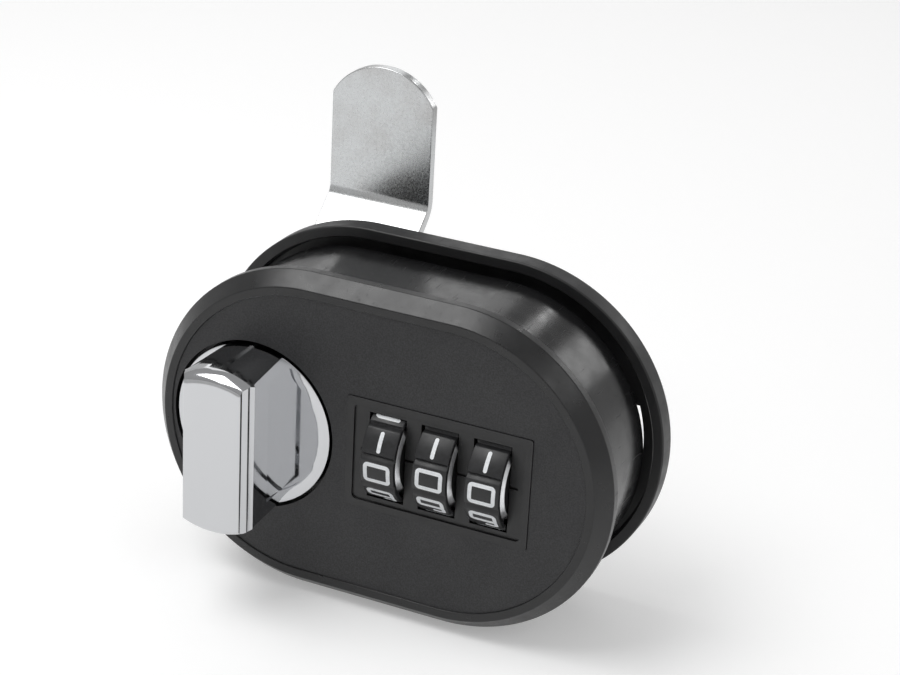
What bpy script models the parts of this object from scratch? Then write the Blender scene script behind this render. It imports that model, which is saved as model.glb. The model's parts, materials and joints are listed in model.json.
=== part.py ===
"""A three-wheel combination cam lock for a cabinet door, in metres.

X runs along the front plate to the right, Y runs back through the door and Z is up. Places are given from
the middle of the front face, and one empty lifts the whole lock so that it stands on its two flanges.
"""
import math

import bmesh
import bpy
from mathutils import Matrix, Vector

# Front plate and neck, one moulding
HALF_RUN = 0.01025          # half the straight part of every long outline
PLATE_RADIUS = 0.02275      # the plate is 66 mm long and 45.5 mm high
PLATE_BACK = 0.0033
RIM_WIDTH = 0.0030          # from the edge of the face out to the edge of the plate
FACE_RADIUS = PLATE_RADIUS - RIM_WIDTH
RING_PROUD = 0.00022        # the ring round the face stands this far in front of it
RING_WIDTH = 0.00125
BEVEL_FOOT = 0.0019
EDGE = 0.00018
FACE_WALL = 0.0023
FLANGE = 0.00185            # how far the plate stands out round the neck
NECK_RADIUS = PLATE_RADIUS - FLANGE
NECK_WALL = 0.0015
NECK_END = 0.0170
RECESS_WALL = 0.0011        # round the knob's disc
RECESS_FLOOR = 0.0018
TUBE_WALL = 0.0026          # round the knob's stem

# Knob and its spindle
KNOB_X = -0.0177
KNOB_RADIUS = 0.0116
KNOB_DISC = 0.0022
KNOB_RECESS = 0.0026
KNOB_GAP = 0.0003
GRIP_HALF = 0.00435
GRIP_HEIGHT = 0.0097
GRIP_WAIST = 0.0029
GRIP_FOOT = 0.00415
GRIP_CROWN = 0.0006
GRIP_ARCH = 0.00012         # how much lower the sides of the front are than its middle
GRIP_END = 0.0012
FRONT_RIB_START = 0.00085
FRONT_RIB = 0.0002          # beyond the grip's half width
BACK_RIB_START = 0.00195
BACK_RIB = 0.00045
RIB_GROOVE = 0.0002
RIB_DEEP = 0.0005
RIB_RISE = 0.00015
RIB_LENGTH = 0.00065
FLANK_START = 0.0041
FLANK_INSET = 0.0004
SCOOP_RIM = 0.00165
SCOOP_RADIUS = KNOB_RADIUS - SCOOP_RIM
SCOOP_DEPTH = 0.0014
SCOOP_ROUND = 0.0080
SCOOP_OFFSET = 0.0003
STEM_RADIUS = 0.0046
STEM_END = 0.0107
DRIVE_SIDE = 0.0064
NECKED_RADIUS = 0.0039
CLIP_Y = 0.0170
CLIP_THICK = 0.0006
CLIP_GROOVE = 0.0034
CLIP_RIM = 0.0016
CLIP_OPENING = 35.0         # degrees either side of straight down
SHOULDER_Y = 0.0230
TAIL_SIDE = 0.0054
BORE_GAP = 0.0002
FIT = 0.0001                # gap between close neighbours
CUT = 0.0010                # how far a cutter runs past what it cuts
SINK = 0.0002               # how far a boss or rib is let into the wall that carries it

# Cam plate, cranked back to reach behind the frame
CAM_WIDTH = 0.0156
CAM_THICK = 0.0015
CAM_CRANK = 0.0120
CAM_LOWER_BEND = 0.0094
CAM_UPPER_BEND = 0.0206
CAM_TIP = 0.0400
CAM_CORNER = 0.0353
CAM_BEND_RADIUS = 0.0022
CAM_FLAT = 0.0004           # half the width at the very tip and heel
CAM_SCREW_RADIUS = 0.0020
CAM_SCREW_START = 0.0175
CAM_HEAD = 0.0035
CAM_HEAD_THICK = 0.0024
WASHER_RADIUS = 0.0043
WASHER_HOLE = 0.0023
WASHER_THICK = 0.0009

# Number wheels
WHEELS = 3
WHEEL_X = 0.00205
WHEEL_PITCH = 0.0074
WHEEL_Y = 0.0039
WHEEL_RADIUS = 0.0068
WHEEL_HALF = 0.0023
DIGITS = 10
STEP = 360.0 / DIGITS        # degrees from one number to the next
FIELD_HALF = 15.2           # degrees, half of a number's field
GROOVE_DEPTH = 0.00035
TOOTH_HALF = 4.5            # degrees, half of a ring's tooth
NOTCH_HALF = 6.5            # degrees, half of a spline's place in the wheel
TOOTH_SLOPE = 0.7           # degrees
RECESS_RADIUS = 0.0050
RECESS_END = 0.0001
CLEAR_BORE = 0.00345
DISC_RADIUS = 0.00625
DISC_THICK = 0.00025
REST_TURN = (7.0, -1.0, -1.0)   # degrees, how far each wheel sits off its stop

# Code rings on their shaft
RING_START = -0.0022
RING_THICK = 0.0010
RING_TIP = 0.0045
RING_ROOT = 0.0032
BOSS_RADIUS = 0.00275
SPLINE_TIP = 0.00325
SPLINE_GAP = 0.00015
SPLINE_START = 0.00015
SPLINE_END = 0.0009
SHAFT_RADIUS = 0.0012
COLLAR_RADIUS = 0.00155
COLLAR_THICK = 0.00045
RING_SHIFT = 0.0011         # how far the rings leave the wheels when the code is set

# Dial cover
COVER_FRAME = (0.0261, 0.0157)
COVER_X = 0.00935
COVER_PROUD = 0.00015
FIELD_INSET = 0.0010
FIELD_DEPTH = 0.0003
FIELD_CORNER = 0.0008
SLOT_HALF = 0.00265
SLOT_GAP = 0.00035
COVER_BACK = 0.0022
BODY_INSET = 0.0006
BODY_DEPTH = 0.0010         # behind the face wall
LUG_INSET = 0.0010
LUG_REACH = 0.0020
INDEX_Z = 0.00045
INDEX_HEIGHT = 0.00035
INDEX_REACH = 0.0011
INDEX_DEPTH = 0.0003
BAR_WINDOW_GAP = 0.0004
LUG_HALF = 0.0095
EAR_HALF = 0.0026
EAR_THICK = 0.0017
EAR_INSET = 0.0005
EAR_BACK = 0.0062
SHELF_OVER = 0.0021         # beyond the axes of the outer wheels
SHELF_THICK = 0.0011
SHELF_BACK = 0.0112
SHELF_Z = -0.0093

# Lock bar, a stamped comb
BAR_THICK = 0.0006
BAR_FRONT = 0.0113
BAR_BACK = 0.0133
BAR_END = 0.0189
BAR_TRAVEL = 0.0011
BAR_GAP = 0.00015
FINGER_WIDTH = 0.0008
FINGER_START = -0.00445
FOOT_INNER = 0.00345
FOOT_OUTER = 0.00425
FOOT_TIP = -0.00265
LIFT_BASE = 0.0056
LIFT_FRONT = 0.0109
LIFT_BACK = 0.0132
LIFT_SWEEP = 96.0           # degrees over which the spiral rises
LIFT_FALL = 24.0            # degrees over which it comes back
LIFT_RELIEF = 0.0004
RELIEF_SWEEP = 30.0         # degrees before the spiral's start
LUG_HALF_TURN = 8.0
LUG_RADIUS = 0.0084
STOP_REACH = 0.0080
STOP_RADIUS = 0.0009
SPRING_RADIUS = 0.0011
SPRING_WIRE = 0.00018
SPRING_TURNS = 5

# Detent spring
LEAF_THICK = 0.00025
LEAF_HALF = 0.0016
LEAF_ROOT = 0.0086
LEAF_KNEE = (0.0058, -0.0079)
LEAF_LIFT = 0.00012         # gap under the wheel
LEAF_SPAN = 0.0017          # of the root, beyond the axes of the outer wheels

# Back cover
LID_FRONT = 0.0148
LID_BACK = 0.0166
LID_GAP = 0.0003
GUIDE_STARTS = (-0.0095, 0.0036)
GUIDE_LENGTH = 0.0050
GUIDE_WALL = 0.0011
GUIDE_FRONT = 0.0117
SEAT_OUTER = 0.0030         # spring seat, in front of the setter's axis
SEAT_INNER = 0.0022
SEAT_HALF = 0.0016
STOP_TURNS = (74.5, 195.5)  # degrees round the spindle
CLAMP_X = 0.0125
CLAMP_INSET = 0.0051        # from the neck's outside
CLAMP_SPOT = (CLAMP_X, NECK_RADIUS - CLAMP_INSET)
CLAMP_POST = 0.0024
LID_TURN = math.radians(32.8)
LID_INSET = 0.00335         # from the neck's outside
LID_REACH = NECK_RADIUS - LID_INSET
LID_SPOT = (HALF_RUN + LID_REACH * math.cos(LID_TURN), LID_REACH * math.sin(LID_TURN))
LID_POST = 0.0020

# Rear ring and its screws
REAR_OVER = 0.0005          # how far the ring stands out beyond the plate
REAR_WALL = 0.00155
REAR_MARGIN = 0.00345       # from the ring's edge in to the end of its slot
REAR_RADIUS = PLATE_RADIUS + REAR_OVER
REAR_LIP = REAR_RADIUS - REAR_WALL
REAR_HOLE = REAR_RADIUS - REAR_MARGIN
REAR_SLOT_HALF = 0.0062
REAR_FRONT = 0.0181
REAR_FLOOR = 0.0199
REAR_BACK = 0.0211
CLAMP_START = 0.0085
CLAMP_SHANK = 0.00145
CLAMP_HEAD = 0.0027
CLAMP_HEAD_THICK = 0.0014
LID_START = 0.0095
LID_SHANK = 0.0010
LID_HEAD = 0.0019
LID_HEAD_THICK = 0.0011

# Code setting turn button
SETTER_INSET = 0.00395      # from the neck's inside
SETTER_X = HALF_RUN + NECK_RADIUS - NECK_WALL - SETTER_INSET
SETTER_SHAFT = 0.0011
SETTER_LOW = 0.00135
SETTER_BUTTON = 0.0030
SETTER_BUTTON_BACK = 0.0184
SETTER_ROUND = 32           # steps in a full circle
SETTER_SLOT = (0.0044, 0.0009, 0.0008)   # length, width and depth
YOKE_FRONT = 0.0032
YOKE_BACK = 0.0046
YOKE_ARM = 0.00065
YOKE_WALL = 0.0008
YOKE_NECK = 0.0006

CURVE = 22                  # steps in each half circle of the long outlines
ROUND = 36                  # steps in a full circle of the knob and the spindle
FEW = 16                    # steps in a full circle of screws, posts and pins
HOLE_ROUND = 24             # steps in a full circle of the tapped hole and the washer
SLOT_ROUND = 60             # steps in a full circle of the wheels' slots

COLOURS = {
    "satin_black": ((0.020, 0.020, 0.022, 1.0), 0.42, 0.0),
    "gloss_black": ((0.010, 0.010, 0.011, 1.0), 0.15, 0.0),
    "wheel_black": ((0.014, 0.014, 0.015, 1.0), 0.35, 0.0),
    "chrome": ((0.80, 0.81, 0.83, 1.0), 0.06, 1.0),
    "zinc": ((0.62, 0.63, 0.64, 1.0), 0.30, 1.0),
    "spring_steel": ((0.50, 0.50, 0.52, 1.0), 0.25, 1.0),
    "brass": ((0.70, 0.54, 0.25, 1.0), 0.30, 1.0),
}

for old in list(bpy.data.objects):
    bpy.data.objects.remove(old)

lock = bpy.data.objects.new("lock_frame", None)
bpy.context.scene.collection.objects.link(lock)
lock.location = (0.0, -0.5 * (CAM_CRANK + SHOULDER_Y + FIT + CAM_THICK - GRIP_HEIGHT), REAR_RADIUS)


def finish(name):
    """Gives the named finish, made once and shared by every piece that has it."""
    made = bpy.data.materials.get(name)
    if made:
        return made
    colour, roughness, metallic = COLOURS[name]
    made = bpy.data.materials.new(name)
    made.use_nodes = True
    shader = made.node_tree.nodes["Principled BSDF"]
    shader.inputs["Base Color"].default_value = colour
    shader.inputs["Roughness"].default_value = roughness
    shader.inputs["Metallic"].default_value = metallic
    return made


def place(name, bm, look, at=(0.0, 0.0, 0.0), guide=False):
    """Turns a bmesh into a named object in the lock's frame, or into a hidden guide for a Boolean."""
    bmesh.ops.recalc_face_normals(bm, faces=bm.faces)
    mesh = bpy.data.meshes.new(name)
    bm.to_mesh(mesh)
    bm.free()
    mesh.shade_smooth()
    mesh.set_sharp_from_angle(angle=math.radians(32))
    piece = bpy.data.objects.new(name, mesh)
    bpy.context.scene.collection.objects.link(piece)
    piece.parent = lock
    piece.location = at
    if guide:
        piece.hide_render = True
        piece.display_type = "WIRE"
    else:
        mesh.materials.append(finish(look))
    return piece


def boolean(piece, other, operation):
    """Adds an exact Boolean of a hidden guide to a piece."""
    step = piece.modifiers.new(other.name, "BOOLEAN")
    step.operation = operation
    step.solver = "EXACT"
    step.object = other


def guide(name, bm, at=(0.0, 0.0, 0.0)):
    return place(name, bm, None, at, guide=True)


def skin(loops, closed=False):
    """Joins equal loops of points by quads; the ends are capped, or joined where closed is set."""
    bm = bmesh.new()
    rings = [[bm.verts.new(point) for point in loop] for loop in loops]
    pairs = list(zip(rings, rings[1:]))
    if closed:
        pairs.append((rings[-1], rings[0]))
    count = len(rings[0])
    for first, second in pairs:
        for k in range(count):
            j = (k + 1) % count
            bm.faces.new((first[k], first[j], second[j], second[k]))
    if not closed:
        bm.faces.new(rings[0])
        bm.faces.new(rings[-1])
    return bm


def obround(radius, y, run=HALF_RUN, steps=CURVE):
    """Points of a slot outline across Y: two half circles on a straight run."""
    points = []
    for side in (1, -1):
        for k in range(steps + 1):
            turn = math.pi * (k / steps - 0.5) + (0 if side > 0 else math.pi)
            points.append(Vector((side * run + radius * math.cos(turn), y, radius * math.sin(turn))))
    return points


def circle_y(radius, y, steps=ROUND, at=(0.0, 0.0)):
    """Points of a circle across Y."""
    turns = [2 * math.pi * k / steps for k in range(steps)]
    return [Vector((at[0] + radius * math.cos(t), y, at[1] + radius * math.sin(t))) for t in turns]


def square_y(side, corner, y, steps=ROUND):
    """Points of a square across Y whose corners are turned to a radius."""
    points = []
    for k in range(steps):
        turn = 2 * math.pi * k / steps
        flat = 0.5 * side / max(abs(math.cos(turn)), abs(math.sin(turn)))
        reach = min(flat, corner)
        points.append(Vector((reach * math.cos(turn), y, reach * math.sin(turn))))
    return points


def rod_y(radius, front, back, at=(0.0, 0.0), steps=ROUND):
    return skin([circle_y(radius, front, steps, at), circle_y(radius, back, steps, at)])


def circle_x(radius, x, steps=ROUND, at=(0.0, 0.0)):
    """Points of a circle across X round the point (y, z)."""
    turns = [2 * math.pi * k / steps for k in range(steps)]
    return [Vector((x, at[0] + radius * math.cos(t), at[1] + radius * math.sin(t))) for t in turns]


def rod_x(radius, left, right, at=(0.0, 0.0), steps=ROUND):
    """A rod along X through the point (y, z)."""
    return skin([circle_x(radius, x, steps, at) for x in (left, right)])


def block(low, high):
    """A box between two corners."""
    bm = bmesh.new()
    size = Vector(high) - Vector(low)
    middle = (Vector(high) + Vector(low)) / 2
    bmesh.ops.create_cube(bm, size=1.0, matrix=Matrix.Translation(middle) @ Matrix.Diagonal((*size, 1.0)))
    return bm


def slab(outline, front, back):
    """An outline of (x, z) points given a thickness along Y."""
    return skin([[Vector((x, y, z)) for x, z in outline] for y in (front, back)])


def arc(centre, radius, start, end, steps):
    """Points of an arc in a plane, its angles in degrees."""
    turns = [math.radians(start + (end - start) * k / steps) for k in range(steps + 1)]
    return [(centre[0] + radius * math.cos(t), centre[1] + radius * math.sin(t)) for t in turns]


def wheel_x(index):
    return WHEEL_X + index * WHEEL_PITCH


def corners(spot):
    """The four mirrored places of a spot."""
    return [(sx * spot[0], sz * spot[1]) for sx in (1, -1) for sz in (1, -1)]


def front_housing():
    """Plate, raised ring and neck as one shell, with the spindle tube and the screw posts inside."""
    crest = FACE_RADIUS + RING_WIDTH
    inner = NECK_RADIUS - NECK_WALL
    profile = [
        (FACE_RADIUS, 0.0), (FACE_RADIUS + EDGE / 2, -RING_PROUD + EDGE / 2),
        (FACE_RADIUS + EDGE, -RING_PROUD), (crest - EDGE, -RING_PROUD), (crest, -RING_PROUD + EDGE / 2),
        (PLATE_RADIUS - EDGE, BEVEL_FOOT - EDGE), (PLATE_RADIUS, BEVEL_FOOT + EDGE),
        (PLATE_RADIUS, PLATE_BACK - EDGE), (PLATE_RADIUS - EDGE, PLATE_BACK), (NECK_RADIUS, PLATE_BACK),
        (NECK_RADIUS, NECK_END - EDGE), (NECK_RADIUS - EDGE, NECK_END), (inner, NECK_END), (inner, FACE_WALL),
    ]
    shell = place("front_housing", skin([obround(radius, y) for radius, y in profile]), "satin_black")
    sunk = FACE_WALL - SINK
    spindle = (KNOB_X, 0.0)
    recess, tube = KNOB_RADIUS + KNOB_GAP, STEM_RADIUS + BORE_GAP
    adds = [rod_y(recess + RECESS_WALL, sunk, KNOB_RECESS + RECESS_FLOOR, spindle),
            rod_y(tube + TUBE_WALL, sunk, STEM_END - KNOB_GAP, spindle)]
    adds += [rod_y(CLAMP_POST, sunk, NECK_END - FIT, spot, FEW) for spot in corners(CLAMP_SPOT)]
    adds += [rod_y(LID_POST, sunk, LID_FRONT - LID_GAP, spot, FEW) for spot in corners(LID_SPOT)]
    for k, bm in enumerate(adds):
        boolean(shell, guide("housing_boss_%d" % k, bm), "UNION")
    half_x, half_z = (size / 2 + FIT for size in COVER_FRAME)
    cuts = [rod_y(recess, -CUT, KNOB_RECESS, spindle),
            rod_y(tube, KNOB_RECESS - CUT, STEM_END + CUT, spindle),
            block((COVER_X - half_x, -CUT, -half_z), (COVER_X + half_x, FACE_WALL + CUT, half_z))]
    for spot in corners(CLAMP_SPOT):
        cuts.append(rod_y(CLAMP_SHANK + FIT, CLAMP_START - CUT, NECK_END + CUT, spot, FEW))
    for spot in corners(LID_SPOT):
        cuts.append(rod_y(LID_SHANK + FIT, LID_START - CUT, LID_FRONT + CUT, spot, FEW))
    for k, bm in enumerate(cuts):
        boolean(shell, guide("housing_hole_%d" % k, bm), "DIFFERENCE")


def rounded_frame(half_x, half_z, corner, front, back, middle=0.0):
    """A rounded rectangle given a thickness along Y."""
    outline = []
    for sx, sz, start in ((1, 1, 0), (-1, 1, 90), (-1, -1, 180), (1, -1, 270)):
        centre = (middle + sx * (half_x - corner), sz * (half_z - corner))
        outline += arc(centre, corner, start, start + 90, 5)
    return slab(outline, front, back)


def cover_blocks(left, right):
    """What stands behind the cover's frame: its body, the lugs, the spring shelf and the two shaft ears."""
    lug_front, body_back = FACE_WALL + KNOB_GAP, FACE_WALL + BODY_DEPTH
    body_half = LUG_HALF - LUG_REACH
    first, last = wheel_x(0), wheel_x(WHEELS - 1)
    blocks = [block((left + BODY_INSET, COVER_BACK - SINK, -body_half),
                    (right - BODY_INSET, body_back, body_half)),
              block((left + LUG_INSET, lug_front, -LUG_HALF), (right - LUG_INSET, body_back - FIT, LUG_HALF)),
              block((first - SHELF_OVER, lug_front + SINK, SHELF_Z - SHELF_THICK),
                    (last + SHELF_OVER, SHELF_BACK, SHELF_Z))]
    for x in (left, right - EAR_INSET - EAR_THICK):
        blocks.append(block((x, COVER_BACK - SINK, -EAR_HALF), (x + EAR_THICK, EAR_BACK, EAR_HALF)))
    return blocks


def dial_cover():
    """The insert that frames the wheels, with three slots, a sunk field and the index marks."""
    half_x, half_z = (size / 2 for size in COVER_FRAME)
    left, right = COVER_X - half_x, COVER_X + half_x
    start, end = wheel_x(0) - SLOT_HALF, wheel_x(WHEELS - 1) + SLOT_HALF
    frame = block((left, -COVER_PROUD, -half_z), (right, COVER_BACK, half_z))
    cover = place("dial_cover", frame, "satin_black")
    for k, bm in enumerate(cover_blocks(left, right)):
        boolean(cover, guide("cover_block_%d" % k, bm), "UNION")
    floor = FIELD_DEPTH - COVER_PROUD
    inside = LUG_HALF - LUG_REACH - BAR_WINDOW_GAP
    cuts = [block((start - BAR_WINDOW_GAP, COVER_BACK, -inside), (end + BAR_WINDOW_GAP, SHELF_BACK, inside)),
            rounded_frame(half_x - FIELD_INSET, half_z - FIELD_INSET, FIELD_CORNER, -CUT, floor, COVER_X),
            block((start - INDEX_REACH, -CUT, INDEX_Z - INDEX_HEIGHT / 2),
                  (end + INDEX_REACH, floor + INDEX_DEPTH, INDEX_Z + INDEX_HEIGHT / 2)),
            rod_x(SHAFT_RADIUS + FIT, left - CUT, right + CUT, (WHEEL_Y, 0.0), FEW)]
    for k in range(WHEELS):
        x = wheel_x(k)
        cuts.append(rod_x(WHEEL_RADIUS + SLOT_GAP, x - SLOT_HALF, x + SLOT_HALF, (WHEEL_Y, 0.0), SLOT_ROUND))
    for k, bm in enumerate(cuts):
        boolean(cover, guide("cover_cut_%d" % k, bm), "DIFFERENCE")


def grip_outline():
    """Half of the grip's section, from its crowned front down the two ribs and the hollow flank."""
    top, half = -GRIP_HEIGHT, GRIP_HALF
    points = [(0.0, top), (0.5 * half, top + GRIP_ARCH / 3), (half - GRIP_CROWN, top + GRIP_ARCH)]
    points += arc((half - GRIP_CROWN, top + GRIP_ARCH + GRIP_CROWN), GRIP_CROWN, -70, 0, 4)
    for start, rib in ((FRONT_RIB_START, FRONT_RIB), (BACK_RIB_START, BACK_RIB)):
        level, crest = top + start, half + rib
        points += [(crest - RIB_DEEP, level), (crest - RIB_DEEP, level + RIB_GROOVE)]
        level += RIB_GROOVE + RIB_RISE
        points += [(crest, level), (crest, level + RIB_LENGTH)]
    shoulder = half - FLANK_INSET
    depth = GRIP_HEIGHT - FLANK_START - FIT
    waist = 0.5 * (shoulder + GRIP_FOOT) - GRIP_WAIST
    for k in range(9):
        share = k / 8
        lean = shoulder * (1 - share) + GRIP_FOOT * share
        points.append((lean - waist * math.sin(math.pi * share) ** 0.8, top + FLANK_START + depth * share))
    points.append((GRIP_FOOT, KNOB_DISC / 4))
    return points


def grip_dome():
    """The round envelope that gives the grip's two ends their shape."""
    shoulder = GRIP_END - GRIP_HEIGHT
    loops = [circle_y(KNOB_RADIUS, KNOB_DISC / 2), circle_y(KNOB_RADIUS, shoulder)]
    for turn in (20, 40, 60, 78):
        t = math.radians(turn)
        loops.append(circle_y(KNOB_RADIUS - GRIP_END * (1 - math.cos(t)), shoulder - GRIP_END * math.sin(t)))
    loops.append(circle_y(KNOB_RADIUS - 1.3 * GRIP_END, -GRIP_HEIGHT - CUT))
    return skin(loops)


def knob_stem():
    """The knob's disc and its stepped stem: bearing, drive square, clip groove and the square for the cam."""
    radius, stem = KNOB_RADIUS, STEM_RADIUS
    neck_start, tail = LIFT_BACK + FIT, SHOULDER_Y + CAM_THICK
    clip_front, clip_back = CLIP_Y - FIT, CLIP_Y + CLIP_THICK + FIT
    drive = 0.5 * DRIVE_SIDE * math.sqrt(2)
    return skin([
        circle_y(radius - EDGE, 0.0), circle_y(radius, EDGE), circle_y(radius, KNOB_DISC - EDGE),
        circle_y(radius - EDGE, KNOB_DISC), circle_y(stem, KNOB_DISC), circle_y(stem, STEM_END),
        square_y(DRIVE_SIDE, drive, STEM_END), square_y(DRIVE_SIDE, drive, neck_start),
        circle_y(NECKED_RADIUS, neck_start), circle_y(NECKED_RADIUS, clip_front),
        circle_y(CLIP_GROOVE, clip_front), circle_y(CLIP_GROOVE, clip_back),
        circle_y(NECKED_RADIUS, clip_back), circle_y(NECKED_RADIUS, SHOULDER_Y),
        square_y(TAIL_SIDE, NECKED_RADIUS, SHOULDER_Y), square_y(TAIL_SIDE, NECKED_RADIUS, tail)])


def knob():
    """Disc, grip bar and stepped stem in one casting, its axis through the object's own origin."""
    at = (KNOB_X, 0.0, 0.0)
    piece = place("knob", knob_stem(), "chrome", at)
    side = grip_outline()
    section = side + [(-x, y) for x, y in reversed(side)][:-1]
    bar = skin([[Vector((x, y, z)) for x, y in section] for z in (-KNOB_RADIUS, KNOB_RADIUS)])
    bar = guide("knob_bar", bar, at)
    boolean(bar, guide("knob_dome", grip_dome(), at), "INTERSECT")
    boolean(piece, bar, "UNION")
    chord = math.degrees(math.acos(GRIP_FOOT / SCOOP_RADIUS))
    long = KNOB_RADIUS + CUT
    for sign in (1, -1):
        outline = [(sign * x, z) for x, z in arc((0.0, 0.0), SCOOP_RADIUS, -chord, chord, 28)]
        scoop = guide("knob_scoop_%d" % sign, slab(outline, -SCOOP_ROUND / 2, SCOOP_DEPTH + CUT), at)
        middle = sign * (0.5 * (GRIP_FOOT + SCOOP_RADIUS) + SCOOP_OFFSET)
        roll = slab(arc((0.0, 0.0), SCOOP_ROUND, 0, 355, 71), -long, long)
        bmesh.ops.transform(roll, matrix=Matrix(((1, 0, 0, middle), (0, 0, 1, SCOOP_DEPTH - SCOOP_ROUND),
                                                 (0, -1, 0, 0), (0, 0, 0, 1))), verts=roll.verts)
        boolean(scoop, guide("knob_scoop_roll_%d" % sign, roll, at), "INTERSECT")
        boolean(piece, scoop, "DIFFERENCE")
    tapping = rod_y(CAM_SCREW_RADIUS + FIT, CAM_SCREW_START - CUT, SHOULDER_Y + CAM_THICK + CUT, steps=HOLE_ROUND)
    boolean(piece, guide("knob_tapping", tapping, at), "DIFFERENCE")


def lift_reach(turn):
    """Radius of the lift cam's edge at an angle in degrees: stop lug, spiral, fall and relief."""
    if abs(turn - 180) < LUG_HALF_TURN:
        return LUG_RADIUS
    if turn <= LIFT_SWEEP:
        return LIFT_BASE + BAR_TRAVEL * turn / 90.0
    if turn < LIFT_SWEEP + LIFT_FALL:
        return LIFT_BASE + BAR_TRAVEL * LIFT_SWEEP / 90.0 * (LIFT_SWEEP + LIFT_FALL - turn) / LIFT_FALL
    into = turn - (360.0 - RELIEF_SWEEP)
    if into > 0:
        return LIFT_BASE - LIFT_RELIEF * math.sin(math.pi * into / RELIEF_SWEEP)
    return LIFT_BASE


def lift_cam():
    """The plate on the spindle whose spiral edge pushes the lock bar, with the lug that stops the turn."""
    outline, hole = [], []
    for k in range(72):
        spin = math.radians(5.0 * k)
        reach = lift_reach(5.0 * k)
        outline.append((reach * math.cos(spin), reach * math.sin(spin)))
        flat = (0.5 * DRIVE_SIDE + FIT) / max(abs(math.cos(spin)), abs(math.sin(spin)))
        hole.append((flat * math.cos(spin), flat * math.sin(spin)))
    loops = [[Vector((x, y, z)) for x, z in ring] for ring, y in
             ((outline, LIFT_FRONT), (outline, LIFT_BACK), (hole, LIFT_BACK), (hole, LIFT_FRONT))]
    place("lift_cam", skin(loops, closed=True), "brass", (KNOB_X, 0.0, 0.0))


def spindle_clip():
    """An open retaining clip in the spindle's groove, behind the back cover."""
    start, end = -90 + CLIP_OPENING, 270 - CLIP_OPENING
    outline = arc((0.0, 0.0), NECKED_RADIUS + CLIP_RIM, start, end, 24)
    outline += arc((0.0, 0.0), CLIP_GROOVE + FIT, end, start, 24)
    place("spindle_clip", slab(outline, CLIP_Y, CLIP_Y + CLIP_THICK), "spring_steel", (KNOB_X, 0.0, 0.0))


def cam_path():
    """Front side of the cam in (y, z), bottom to top, with both bends turned to a radius."""
    front, back = SHOULDER_Y + FIT, SHOULDER_Y + FIT + CAM_CRANK
    slope = math.atan2(CAM_CRANK, CAM_UPPER_BEND - CAM_LOWER_BEND)
    reach = CAM_BEND_RADIUS * math.tan(slope / 2)
    half = CAM_WIDTH / 2
    path = [(front, -half * math.cos(math.radians(6 * k))) for k in range(15)]
    path += [(front, 0.0), (front, CAM_LOWER_BEND - reach)]
    for k in range(1, 7):
        turn = slope * k / 6
        path.append((front + CAM_BEND_RADIUS * (1 - math.cos(turn)),
                     CAM_LOWER_BEND - reach + CAM_BEND_RADIUS * math.sin(turn)))
    for k in range(0, 7):
        turn = slope * (1 - k / 6)
        path.append((back - CAM_BEND_RADIUS * (1 - math.cos(turn)),
                     CAM_UPPER_BEND + reach - CAM_BEND_RADIUS * math.sin(turn)))
    tip_round = (half ** 2 + (CAM_TIP - CAM_CORNER) ** 2) / (2 * (CAM_TIP - CAM_CORNER))
    widest = math.asin(half / tip_round)
    path += [(back, CAM_TIP - tip_round * (1 - math.cos(widest * (1 - k / 12)))) for k in range(12)]
    path.append((back, CAM_TIP))
    return path, tip_round


def cam():
    """The cranked steel tongue, with a round heel and an arched tip."""
    path, tip_round = cam_path()
    half = CAM_WIDTH / 2
    loops = []
    for k, (y, z) in enumerate(path):
        before, after = path[max(k - 1, 0)], path[min(k + 1, len(path) - 1)]
        along = Vector((0.0, after[0] - before[0], after[1] - before[1])).normalized()
        behind = Vector((0.0, along.z, -along.y)) * CAM_THICK
        wide = half
        if z < 0:
            wide = max(math.sqrt(max(half ** 2 - z ** 2, 0.0)), CAM_FLAT)
        if z > CAM_CORNER:
            wide = max(math.sqrt(max(tip_round ** 2 - (z - CAM_TIP + tip_round) ** 2, 0.0)), CAM_FLAT)
        middle = Vector((0.0, y, z))
        side = Vector((wide, 0.0, 0.0))
        loops.append([middle - side, middle + side, middle + side + behind, middle - side + behind])
    at = (KNOB_X, 0.0, 0.0)
    plate = place("cam", skin(loops), "zinc", at)
    hole = TAIL_SIDE / 2 + FIT
    square = block((-hole, SHOULDER_Y - CUT, -hole), (hole, SHOULDER_Y + CAM_THICK + CUT, hole))
    boolean(plate, guide("cam_hole", square, at), "DIFFERENCE")


def cam_washer(seat):
    """The spring washer between the cam and its screw."""
    back = seat + WASHER_THICK
    profile = [(WASHER_RADIUS, seat), (WASHER_RADIUS, back), (WASHER_HOLE, back), (WASHER_HOLE, seat)]
    ring = [circle_y(radius, y, HOLE_ROUND) for radius, y in profile]
    place("cam_washer", skin(ring, closed=True), "spring_steel", (KNOB_X, 0.0, 0.0))


def toothed(x, low, high, half_width, missing=None):
    """A loop across X with ten teeth; angles start at the front and rise towards +Z."""
    points = []
    foot = half_width + TOOTH_SLOPE
    for k in range(DIGITS):
        for step in (-STEP / 2, -foot, -half_width, half_width, foot):
            turn = math.radians(STEP * k + step)
            reach = high if abs(step) <= half_width and k != missing else low
            points.append(Vector((x, -reach * math.cos(turn), reach * math.sin(turn))))
    return points


def turned(radius, x):
    """A plain round loop across X whose points match those of a toothed one."""
    return toothed(x, radius, radius, TOOTH_HALF)


def tread(x, radius=WHEEL_RADIUS):
    """A loop across X with ten number fields and a shallow groove between each two."""
    points = []
    third = FIELD_HALF / 3
    for k in range(DIGITS):
        for step, sink in ((-STEP / 2, 1.0), (-FIELD_HALF, 0.0), (-third, 0.0), (third, 0.0),
                           (FIELD_HALF, 0.0)):
            turn = math.radians(STEP * k + step)
            reach = radius - GROOVE_DEPTH * sink
            points.append(Vector((x, -reach * math.cos(turn), reach * math.sin(turn))))
    return points


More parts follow.
